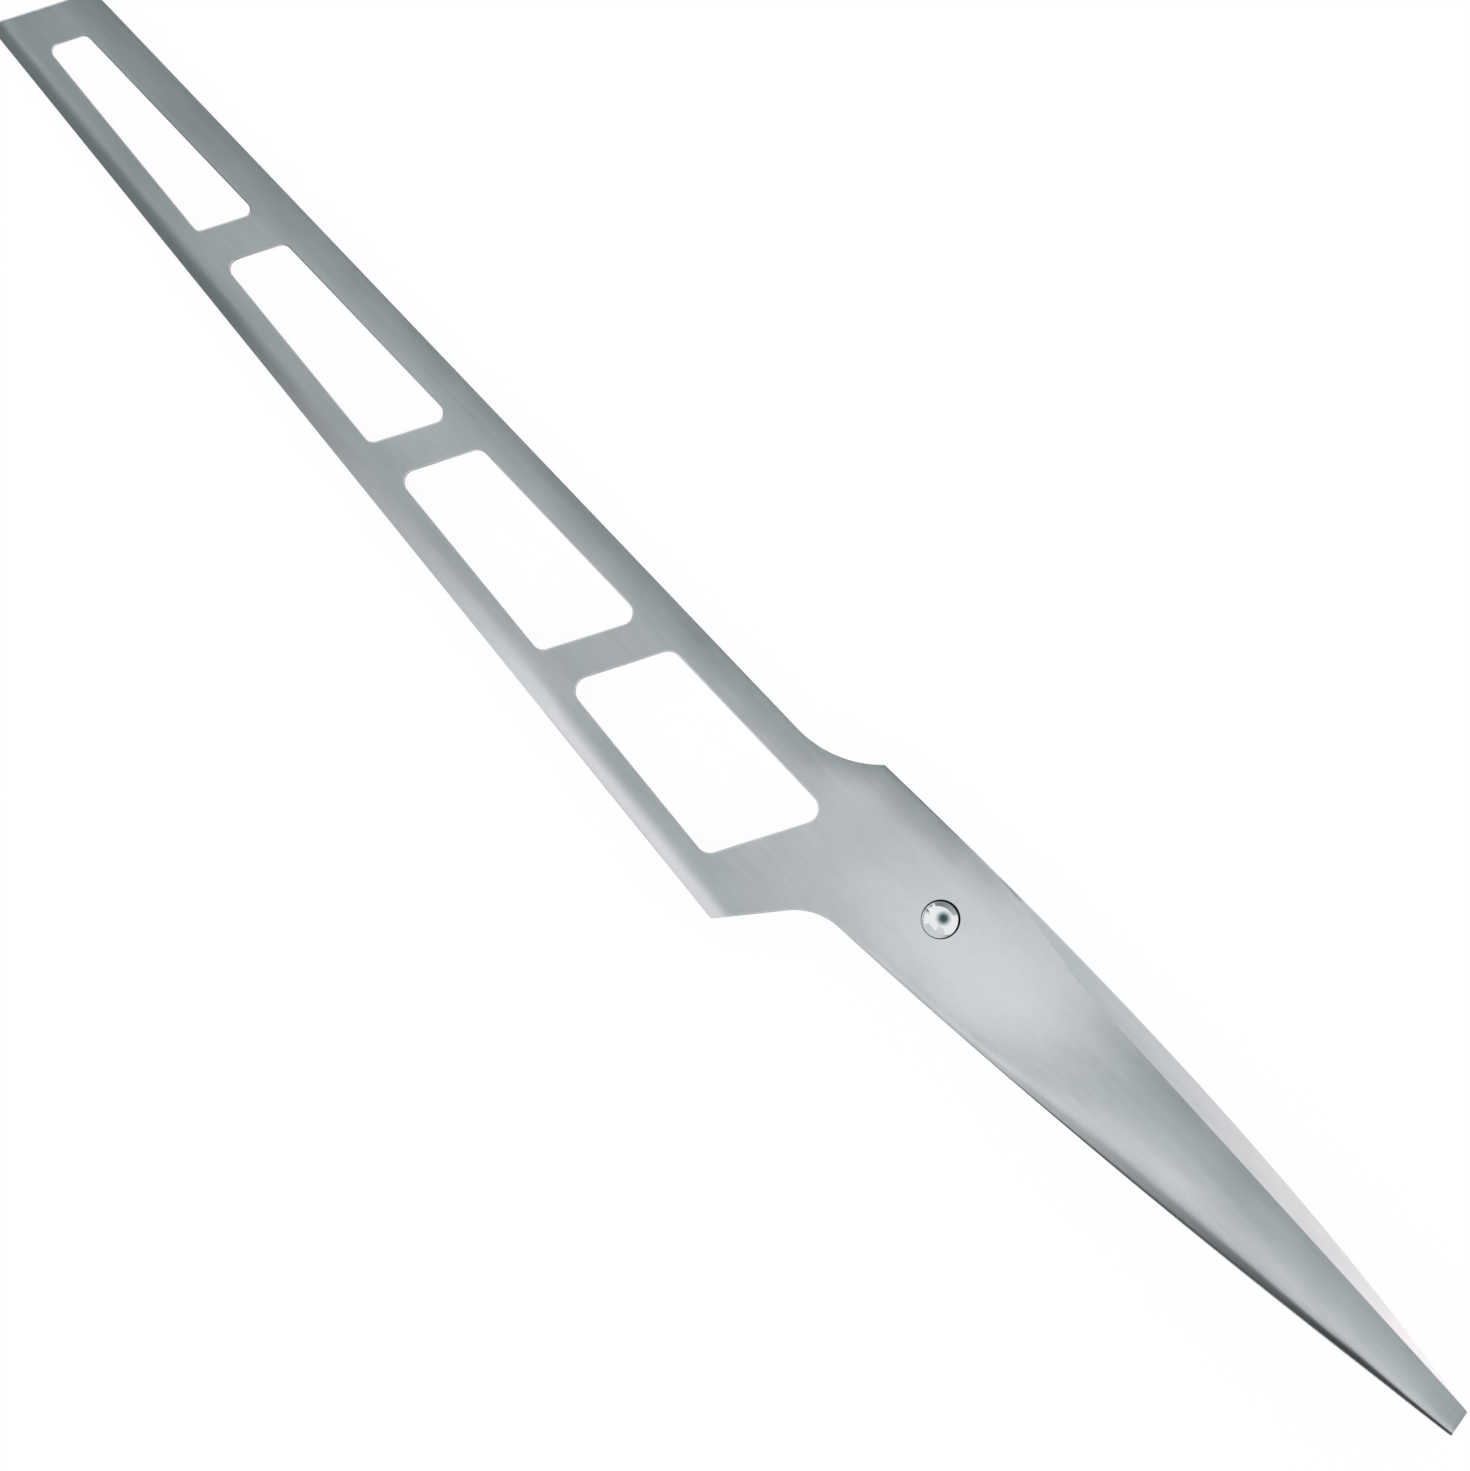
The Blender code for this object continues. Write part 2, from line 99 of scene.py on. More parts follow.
class Seam(Enum):
    """Long weld between the two shells, with the way into the handle from it."""

    SPINE = -1
    BELLY = 1


class Slot(Enum):
    """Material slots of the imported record."""

    BLADE = "blade_steel"
    HANDLE = "handle_steel"
    WELD = "weld_steel"
    BEAD = "bead_steel"


def mix(a: float, b: float, t: float) -> float:
    """Value at share t of the way from a to b."""
    return a + (b - a) * t


def ease(t: float) -> float:
    """Smooth step from 0 to 1."""
    t = min(max(t, 0.0), 1.0)
    return t * t * (3 - 2 * t)


def flat_point(x: float, y: float) -> Vector:
    """Point of the mid-plane."""
    return Vector((x, y, 0.0))


def halfway(a: Vector, b: Vector) -> Vector:
    """Point halfway between two points."""
    return a + (b - a) * 0.5


def shares(steps: int) -> list[float]:
    """Shares from 0 to 1 in equal steps."""
    return [i / steps for i in range(steps + 1)]


def drawn_curve(controls: Sequence[float], t: float) -> float:
    """Bezier curve of any degree.

    Args:
        controls: Control values, the first and last of which the curve passes through.
        t: Share of the way along the curve.

    Returns:
        The curve's value.
    """
    row = list(controls)
    while len(row) > 1:
        row = [mix(a, b, t) for a, b in zip(row, row[1:])]
    return row[0]


@dataclass(frozen=True)
class KnifeLines:
    """Sizes and lines that the blade, the handle and the welds share."""

    blade_length: float = 0.1705
    plate_thickness: float = 0.0022
    shoulder_rise: float = 0.0056
    handle_length: float = 0.1287
    bolster_length: float = 0.0155
    top_fullness: float = 0.0076
    butt_top: float = 0.0018
    belly_depth: float = 0.01675
    belly_fullness: float = 0.0127
    butt_belly: float = 0.0024
    butt_lean: float = math.radians(12.0)
    butt_run: float = 0.014
    butt_width: float = 0.0166
    flare_setback: float = 0.0006
    flare_ease: float = 0.008
    swell_rise: float = 0.0038
    swell_length: float = 0.069
    ridge_width: float = 0.0044
    facet_least: float = 0.0005
    roll_height: float = 0.005
    roll_drop: float = 0.00017
    roll_setback: float = 0.0135
    roll_ease: float = 0.018
    crease_setback: float = 0.019
    crease_ease: float = 0.028
    crease_front: float = 0.0051
    crease_butt: float = 0.0019
    belly_power_front: float = 18.0
    belly_power_grip: float = 4.8
    belly_power_butt: float = 14.0
    belly_roll_setback: float = 0.035
    belly_roll_ease: float = 0.036
    crown_slope: float = 0.15
    weld_width: float = 0.0012
    weld_depth: float = 0.0010
    weld_ring_run: float = 0.0016
    ridge_round: float = 0.00018
    butt_round: float = 0.0001
    butt_flatness_power: float = 3.0
    facet_steps: int = 8
    belly_steps: int = 64
    handle_steps: int = 150
    ridge_round_steps: int = 3
    butt_round_steps: int = 4

    @property
    def joint_x(self) -> float:
        """Rear end of the bolster."""
        return self.blade_length + self.bolster_length

    @property
    def shell_x(self) -> float:
        """Front end of the hollow handle."""
        return self.joint_x + self.weld_ring_run

    @property
    def butt_x(self) -> float:
        """Rear end of the handle."""
        return self.blade_length + self.handle_length

    @property
    def flare_x(self) -> float:
        """Place where the plate starts to thicken."""
        return self.blade_length + self.flare_setback

    @property
    def weld_half(self) -> float:
        """Half the width of the long welds."""
        return self.weld_width / 2

    @property
    def stations(self) -> list[float]:
        """Stations along the hollow handle, from its front end to the butt."""
        return [mix(self.shell_x, self.butt_x, t) for t in shares(self.handle_steps)]

    @property
    def crease_row(self) -> int:
        """Index of the crease in a side profile."""
        return self.facet_steps + 1

    def handle_share(self, x: float) -> float:
        """Share of the way from the shoulder corner to the butt."""
        return (x - self.blade_length) / self.handle_length

    def top_y(self, x: float) -> float:
        """Top line of the handle."""
        controls = (self.shoulder_rise, self.top_fullness, self.top_fullness, self.butt_top)
        return drawn_curve(controls, self.handle_share(x))

    def belly_y(self, x: float) -> float:
        """Belly line of the handle."""
        controls = (self.belly_depth, self.belly_fullness, self.butt_belly)
        return -drawn_curve(controls, self.handle_share(x))

    def crease_y(self, x: float) -> float:
        """Crease between the main side face and the sloping top facet.

        Args:
            x: Station along the knife.

        Returns:
            Height of the crease, which leaves the top line behind the bead.
        """
        line = mix(self.crease_front, self.crease_butt, self.handle_share(x))
        start = self.blade_length + self.crease_setback
        return mix(self.top_y(x), min(line, self.top_y(x)), ease((x - start) / self.crease_ease))

    def half_thickness(self, x: float) -> float:
        """Half the thickness of the knife at its widest height.

        Args:
            x: Station along the knife.

        Returns:
            Half the plate's thickness along the blade, growing to half the butt's width.
        """
        run = max(0.0, x - self.flare_x)
        eased = min(run, self.flare_ease)
        rise = eased * eased / (2 * self.flare_ease) + run - eased
        full_rise = self.butt_x - self.flare_x - self.flare_ease / 2
        swell = self.swell_rise * ease(run / self.swell_length)
        butt_half = self.butt_width / 2 - self.swell_rise
        return mix(self.plate_thickness / 2, butt_half, rise / full_rise) + swell

    def ridge_half(self, x: float) -> float:
        """Half the width of the flat along the top."""
        return min(self.ridge_width / 2, self.half_thickness(x) - self.facet_least)

    def roll(self, x: float, depth: float) -> float:
        """How far the side falls back towards the spine, before the crease takes over.

        Args:
            x: Station along the knife.
            depth: Distance below the spine or the crease.

        Returns:
            The fall, which is 0 from the roll's height down.
        """
        run = x - self.blade_length - self.roll_setback
        fall = self.roll_drop * (1 - ease(run / self.roll_ease))
        return fall * max(0.0, 1 - depth / self.roll_height) ** 2

    def grip_roundness(self, x: float) -> float:
        """How far the flat front of the handle has changed to its rounded grip."""
        return ease((x - self.blade_length - self.belly_roll_setback) / self.belly_roll_ease)

    def butt_flatness(self, x: float) -> float:
        """How far the rounded grip has changed to the flat-sided butt."""
        grip_x = self.blade_length + self.belly_roll_setback + self.belly_roll_ease
        return (max(0.0, x - grip_x) / (self.butt_x - grip_x)) ** self.butt_flatness_power

    def belly_power(self, x: float) -> float:
        """Squareness of the belly's section.

        Args:
            x: Station along the knife.

        Returns:
            The power of its curve: a high one is square, 2 is an ellipse.
        """
        front, grip = 1 / self.belly_power_front, 1 / self.belly_power_grip
        power = 1 / mix(front, grip, self.grip_roundness(x))
        return mix(power, self.belly_power_butt, self.butt_flatness(x))

    def crowned_half(self, x: float, drop: float) -> float:
        """Half-thickness of the crowned side at a share of the way from the crease to the belly."""
        slope = self.crown_slope * self.grip_roundness(x) * (1 - self.butt_flatness(x))
        return self.half_thickness(x) - slope * (self.crease_y(x) - self.belly_y(x)) * drop**2 / 2

    def leaning(self, x: float, y: float) -> float:
        """X of a point at station x of the handle, which leans with the butt towards its end."""
        lean = math.tan(self.butt_lean) * ease((x - self.butt_x + self.butt_run) / self.butt_run)
        return x - lean * (y - (self.butt_top - self.butt_belly) / 2)

    def side_profile(self, x: float) -> Profile:
        """Outer skin of one side of the handle.

        Args:
            x: Station along the knife.

        Returns:
            (y, z) points from the weld on the ridge, over the crease, to the weld on the belly.
        """
        top, crease, belly = self.top_y(x), self.crease_y(x), self.belly_y(x)
        widest, power = self.half_thickness(x), self.belly_power(x)
        facet = shares(self.facet_steps)[:-1]
        profile = [(top, self.weld_half)]
        brink = widest - self.roll(x, 0.0)
        profile += [(mix(top, crease, t), mix(self.ridge_half(x), brink, t)) for t in facet]
        out = self.weld_half / self.crowned_half(x, 1.0)
        last = math.atan2((1 - out**power) ** (1 / power), out)
        for t in shares(self.belly_steps):
            drop, reach = math.sin(last * t), math.cos(last * t)
            scale = (drop**power + reach**power) ** (-1 / power)
            depth = (crease - belly) * drop * scale
            out_to = self.crowned_half(x, drop * scale) * reach * scale
            profile.append((crease - depth, out_to - self.roll(x, depth)))
        return profile


@dataclass(frozen=True)
class KnifeFrame:
    """Where the knife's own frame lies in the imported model."""

    matrix: Matrix

    @classmethod
    def from_packed(cls, record: dict[str, Any], bead_centre: Vector) -> Self:
        """Find the frame from the blade's flat side and the bead.

        Args:
            record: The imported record.
            bead_centre: Centre of the bead in the knife's own frame.

        Returns:
            The frame.
        """
        face = next(mount for mount in record["mounts"] if mount["name"] == "blade_side_front")
        normal = Vector(face["axis"]).normalized()
        turn = Matrix((OUT.cross(normal), OUT, normal)).transposed()
        low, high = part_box("thumb_bead")
        place = (low + high) / 2 - turn @ bead_centre
        return cls(Matrix.Translation(place) @ turn.to_4x4())

    def point(self, x: float, y: float, z: float) -> Vector:
        """Packed place of a point of the knife's own frame."""
        return self.matrix @ Vector((x, y, z))

    def direction(self, x: float, y: float, z: float) -> Vector:
        """Packed direction of a vector of the knife's own frame."""
        return (self.matrix.to_3x3() @ Vector((x, y, z))).normalized()


class Pen:
    """Pen that draws a flat outline in straight runs and arcs."""

    def __init__(self, mesh: BMesh, start: Vector) -> None:
        """Set the pen down.

        Args:
            mesh: Mesh to draw on.
            start: Where the outline starts.
        """
        self.mesh = mesh
        self.first: BMVert = mesh.verts.new(start)
        self.last: BMVert = self.first

    def line_to(self, point: Vector) -> None:
        """Draw a straight run."""
        self.last = bmesh.ops.extrude_vert_indiv(self.mesh, verts=[self.last])["verts"][0]
        self.last.co = point

    def arc(self, centre: Vector, angle: float, steps: int) -> None:
        """Draw an arc.

        Args:
            centre: Centre of the arc.
            angle: Turn about the centre, anticlockwise where it is positive.
            steps: Number of runs in the arc.
        """
        made = bmesh.ops.spin(
            self.mesh, geom=[self.last], cent=centre, axis=UP, angle=angle, steps=steps
        )
        self.last = next(part for part in made["geom_last"] if isinstance(part, BMVert))

    def corner(self, at: Vector, radius: float, towards: Vector, steps: int) -> None:
        """Run to a corner and turn round it.

        Args:
            at: The sharp corner.
            radius: Radius that rounds it.
            towards: Next corner of the outline.
            steps: Number of runs in the arc.
        """
        before, after = (self.last.co - at).normalized(), (towards - at).normalized()
        half = before.angle(after) / 2
        self.line_to(at + before * (radius / math.tan(half)))
        centre = at + (before + after).normalized() * (radius / math.sin(half))
        turn = math.copysign(math.pi - 2 * half, -before.cross(after).z)
        self.arc(centre, turn, steps)

    def close(self) -> None:
        """Join the pen's last place to its first."""
        bmesh.ops.contextual_create(self.mesh, geom=[self.last, self.first])


def loft(sections: Sequence[Sequence[Vector]]) -> BMesh:
    """Solid through a row of closed sections, extruded from one to the next.

    Args:
        sections: Rings of points with equal counts.

    Returns:
        A closed mesh whose vertices of section i and point k have the index i * count + k.
    """
    bm = bmesh.new()
    count = len(sections[0])
    circle = bmesh.ops.create_circle(bm, segments=count, radius=1.0, cap_ends=True)
    ring: list[BMVert] = circle["verts"]
    edges: list[BMEdge] = bm.edges[:]
    for vert, point in zip(ring, sections[0]):
        vert.co = point
    for section in sections[1:]:
        made = bmesh.ops.extrude_edge_only(bm, edges=edges)["geom"]
        fresh = {part for part in made if isinstance(part, BMVert)}
        edges = [part for part in made if isinstance(part, BMEdge)]
        ring = [
            next(e.other_vert(v) for e in v.link_edges if e.other_vert(v) in fresh) for v in ring
        ]
        for vert, point in zip(ring, section):
            vert.co = point
    bmesh.ops.contextual_create(bm, geom=edges)
    bmesh.ops.recalc_face_normals(bm, faces=bm.faces[:])
    bm.verts.index_update()
    return bm


def row_edges(bm: BMesh, count: int, row: int) -> list[BMEdge]:
    """Edges that run along a loft through one point of its sections.

    Args:
        bm: A mesh from loft.
        count: Points in each section.
        row: Index of the point.

    Returns:
        The edges.
    """
    return [e for e in bm.edges if all(v.index % count == row for v in e.verts)]


def round_edges(bm: BMesh, edges: Sequence[BMEdge], radius: float, segments: int) -> None:
    """Round edges, by less than the radius where they have no room for it.

    Args:
        bm: Mesh that the edges belong to.
        edges: Edges to round.
        radius: Width of the rounding.
        segments: Number of faces across it.
    """
    bmesh.ops.bevel(
        bm,
        geom=list(edges),
        offset=radius,
        segments=segments,
        profile=0.5,
        affect="EDGES",
        material=-1,
        clamp_overlap=True,
    )


def add_object(name: str, bm: BMesh) -> bpy.types.Object:
    """Put a mesh into the scene.

    Args:
        name: Name of the object.
        bm: Its mesh, which is freed.

    Returns:
        The object, at the origin with its place in its mesh.
    """
    mesh = bpy.data.meshes.new(name)
    bm.to_mesh(mesh)
    bm.free()
    added = bpy.data.objects.new(name, mesh)
    bpy.context.scene.collection.objects.link(added)
    return added


def make_piece(name: str, bm: BMesh, knife: KnifeFrame) -> bpy.types.Object:
    """Turn a mesh in the knife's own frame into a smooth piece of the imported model.

    Args:
        name: Name of the piece.
        bm: Its mesh, which is freed.
        knife: Where the knife lies.

    Returns:
        The piece.
    """
    bmesh.ops.transform(bm, matrix=knife.matrix, verts=bm.verts[:])
    piece = add_object(name, bm)
    piece.data.shade_smooth()
    return piece


def shade_by_area(piece: bpy.types.Object) -> None:
    """Let the large faces of a piece set the shading beside its rounded edges.

    Args:
        piece: Piece to shade, which keeps the edges that are marked as sharp.
    """
    creases = [edge for edge in piece.data.edges if edge.use_edge_sharp]
    piece.data.set_sharp_from_angle(angle=SHARP_ANGLE)
    for crease in creases:
        crease.use_edge_sharp = True
    modifier = piece.modifiers.new("weighted_normals", "WEIGHTED_NORMAL")
    modifier.mode = "FACE_AREA"
    modifier.keep_sharp = True


def cut_away(piece: bpy.types.Object, tool: bpy.types.Object) -> None:
    """Cut a tool body out of a piece for good, and remove the tool.

    Args:
        piece: Piece to cut.
        tool: Closed body that is taken away.
    """
    piece.modifiers.clear()
    boolean = piece.modifiers.new("cut", "BOOLEAN")
    boolean.operation = "DIFFERENCE"
    boolean.object = tool
    boolean.solver = "EXACT"
    evaluated = piece.evaluated_get(bpy.context.evaluated_depsgraph_get())
    cut = bpy.data.meshes.new_from_object(evaluated)
    piece.modifiers.clear()
    piece.data = cut
    cut.name = piece.name
    bpy.data.objects.remove(tool)


def settle(
    piece: bpy.types.Object, steels: Sequence[bpy.types.Material], node: str
) -> None:
    """Give a piece its finish and put it in the place of its CAD node.

    Args:
        piece: The piece.
        steels: Its materials, in the order of its faces' indices.
        node: CAD node that it stands for.
    """
    for steel in steels:
        piece.data.materials.append(steel)
    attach(piece, BODY)
    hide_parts(node)
    LOG.info("%s stands for %s with %d faces", piece.name, node, len(piece.data.polygons))


class Value:
    """Shader socket whose arithmetic adds Math nodes to its tree."""

    def __init__(self, tree: bpy.types.NodeTree, socket: bpy.types.NodeSocket) -> None:
        """Wrap an output socket of a tree."""
        self.tree = tree
        self.socket = socket

    def _math(self, operation: str, first: "Value | float", second: "Value | float") -> "Value":
        """Add one Math node."""
        settings = {"operation": operation}
        return Nodes(self.tree).value("ShaderNodeMath", settings, {0: first, 1: second})

    def __add__(self, other: "Value | float") -> "Value":
        """Sum of two values."""
        return self._math("ADD", self, other)

    def __sub__(self, other: "Value | float") -> "Value":
        """Difference of two values."""
        return self._math("SUBTRACT", self, other)

    def __rsub__(self, other: float) -> "Value":
        """Difference of a number and a value."""
        return self._math("SUBTRACT", other, self)

    def __mul__(self, other: "Value | float") -> "Value":
        """Product of two values."""
        return self._math("MULTIPLY", self, other)

    __radd__ = __add__
    __rmul__ = __mul__


class Nodes:
    """Builder for the nodes of one tree."""

    def __init__(self, tree: bpy.types.NodeTree) -> None:
        """Work on a tree."""
        self.tree = tree

    def add(
        self,
        kind: str,
        settings: dict[str, Any] | None = None,
        sockets: dict[str | int, Any] | None = None,
    ) -> bpy.types.Node:
        """Add any node.

        Args:
            kind: Node type.
            settings: Properties of the node, set before its sockets.
            sockets: Values or links of its inputs.

        Returns:
            The node.
        """
        node = self.tree.nodes.new(kind)
        for name, setting in (settings or {}).items():
            setattr(node, name, setting)
        self.fill(node, sockets or {})
        return node

    def fill(self, node: bpy.types.Node, sockets: dict[str | int, Any]) -> None:
        """Link Values into a node's inputs, and set plain numbers, colours and vectors on them.

        Args:
            node: The node.
            sockets: Contents by the name or index of the input.
        """
        for name, content in sockets.items():
            socket = node.inputs[name]
            if isinstance(content, Value):
                self.tree.links.new(content.socket, socket)
            else:
                socket.default_value = content

    def value(
        self,
        kind: str,
        settings: dict[str, Any] | None = None,
        sockets: dict[str | int, Any] | None = None,
        output: str | int = 0,
    ) -> Value:
        """Add any node and wrap one of its outputs.

        Args:
            kind: Node type.
            settings: Properties of the node.
            sockets: Values or links of its inputs.
            output: Name or index of the output.

        Returns:
            The wrapped output.
        """
        return Value(self.tree, self.add(kind, settings, sockets).outputs[output])

    def blend(self, factor: Value, first: Colour, second: Colour) -> Value:
        """Colour between two colours."""
        sockets = {"Factor": factor, "A": (*first, 1.0), "B": (*second, 1.0)}
        return self.value("ShaderNodeMix", {"data_type": "RGBA"}, sockets, "Result")

    def noise(self, place: Value, scale: float, detail: float, roughness: float = 0.5) -> Value:
        """Noise around 0.5.

        Args:
            place: Coordinates that the noise is read at.
            scale: Waves of the noise in one unit of length.
            detail: Octaves of finer noise in it.
            roughness: Weight of the finer octaves.

        Returns:
            The noise.
        """
        sockets = {"Vector": place, "Scale": scale, "Detail": detail, "Roughness": roughness}
        return self.value("ShaderNodeTexNoise", {}, sockets)

    def metal(self, colour: Value, roughness: Value, relief: dict[str | int, Any]) -> None:
        """Fill in a new material's shader as bare metal.

        Args:
            colour: Base colour.
            roughness: Roughness.
            relief: Inputs of its bump.
        """
        normal = self.value("ShaderNodeBump", {}, relief)
        sockets = {"Base Color": colour, "Roughness": roughness, "Normal": normal, "Metallic": 1.0}
        self.fill(self.tree.nodes["Principled BSDF"], sockets)


def start_material(name: str, bare: bool = False) -> tuple[bpy.types.Material, Nodes]:
    """Start a material.

    Args:
        name: Name of the material.
        bare: Whether the nodes that a new material has are removed.

    Returns:
        The material and the builder of its nodes.
    """
    material = bpy.data.materials.new(name)
    material.use_nodes = True
    if bare:
        material.node_tree.nodes.clear()
    return material, Nodes(material.node_tree)


def scaled(colour: Colour, level: float) -> Colour:
    """Colour made lighter or darker by one factor."""
    red, green, blue = colour
    return (red * level, green * level, blue * level)


@dataclass(frozen=True)
class BrushedSteel:
    """Steel rubbed with a fine abrasive in one direction.

    Each of the triples has one number for the streaks, one for the bands and one for the clouds.
    """

    name: str
    colour: Colour
    roughness: float
    roughness_spread: float = 0.05
    shade_spread: float = 0.05
    streak_width: float = 0.00014
    streak_length: float = 0.009
    band_width: float = 0.0011
    band_length: float = 0.060
    cloud_width: float = 0.009
    cloud_length: float = 0.018
    details: tuple[float, float, float] = (2.0, 3.0, 3.0)
    tone_weights: tuple[float, float, float] = (0.45, 0.3, 0.7)
    gloss_weights: tuple[float, float, float] = (0.8, 1.2, 1.6)
    fine_share: float = 0.6
    band_relief: float = 0.6
    groove_depth: float = 0.000006
    bump: float = 0.35
    turn: float = 0.0

    def _grain(self, nodes: Nodes, place: Value) -> list[Value]:
        """Noises drawn out along the brushing.

        Args:
            nodes: Builder of the material's tree.
            place: Object coordinates turned to the brushing.

        Returns:
            The streaks, the bands and the clouds, each around 0.5.
        """
        lengths = (self.streak_length, self.band_length, self.cloud_length)
        widths = (self.streak_width, self.band_width, self.cloud_width)
        grain = []
        for length, width, detail in zip(lengths, widths, self.details):
            sockets = {0: place, 1: (1 / length, 1 / width, 1 / width)}
            drawn_out = nodes.value("ShaderNodeVectorMath", {"operation": "MULTIPLY"}, sockets)
            grain.append(nodes.noise(drawn_out, 1.0, detail, self.fine_share))
        return grain

    @staticmethod
    def _weighed(grain: Sequence[Value], weights: Sequence[float]) -> Value:
        """Sum of noises around 0, each with its own weight."""
        first, *others = [(noise - 0.5) * weight for noise, weight in zip(grain, weights)]
        return sum(others, first)

    def material(self, knife: KnifeFrame) -> bpy.types.Material:
        """Make the material.

        Args:
            knife: Where the knife lies, which sets the direction of the brushing.

        Returns:
            The material.
        """
        material, nodes = start_material(self.name)
        whole = nodes.value("ShaderNodeTexCoord", output="Object")
        unturned = Matrix.Rotation(-self.turn, 3, "Z") @ knife.matrix.to_3x3().inverted()
        sockets = {"Vector": whole, "Rotation": unturned.to_euler()}
        grain = self._grain(nodes, nodes.value("ShaderNodeMapping", {}, sockets))
        streaks, bands, _ = grain
        tone = self._weighed(grain, self.tone_weights) + 0.5
        spread = 2 * self.shade_spread
        dark, light = scaled(self.colour, 1 - spread), scaled(self.colour, 1 + spread)
        drift = self._weighed(grain, self.gloss_weights)
        height = streaks + bands * self.band_relief
        nodes.metal(
            nodes.blend(tone, dark, light),
            drift * self.roughness_spread + self.roughness,
            {"Strength": self.bump, "Distance": self.groove_depth, "Height": height},
        )
        return material


@dataclass(frozen=True)
class PolishedSteel:
    """Mirror-polished steel with faint hairlines and a trace of haze."""

    name: str
    colour: Colour
    roughness: float = 0.045
    haze: float = 0.05
    haze_shade: float = 0.96
    haze_size: float = 0.0012
    haze_detail: float = 3.0
    hairline_size: float = 0.00025
    hairline_detail: float = 1.0
    hairline_depth: float = 0.0000004
    bump: float = 0.2

    def material(self) -> bpy.types.Material:
        """Make the material.

        Returns:
            The material.
        """
        material, nodes = start_material(self.name)
        place = nodes.value("ShaderNodeTexCoord", output="Object")
        haze = nodes.noise(place, 1 / self.haze_size, self.haze_detail)
        hairlines = nodes.noise(place, 1 / self.hairline_size, self.hairline_detail)
        nodes.metal(
            nodes.blend(haze, scaled(self.colour, self.haze_shade), self.colour),
            haze * haze * self.haze + self.roughness,
            {"Strength": self.bump, "Distance": self.hairline_depth, "Height": hairlines},
        )
        return material


SATIN = BrushedSteel("satin_steel", (0.695, 0.692, 0.71), 0.33, shade_spread=0.12)
# Cross-brushed steel of the ground bevel, a little lighter than the satin steel: the brushing is
# its real finish, the extra lightness is a painted highlight.
LIGHTENED_GROUND = BrushedSteel(
    "ground_edge_steel_lightened", (0.70, 0.71, 0.73), 0.30, streak_length=0.0022, turn=math.radians(80)
)
POLISHED = PolishedSteel("polished_bead_steel", (0.87, 0.88, 0.89))


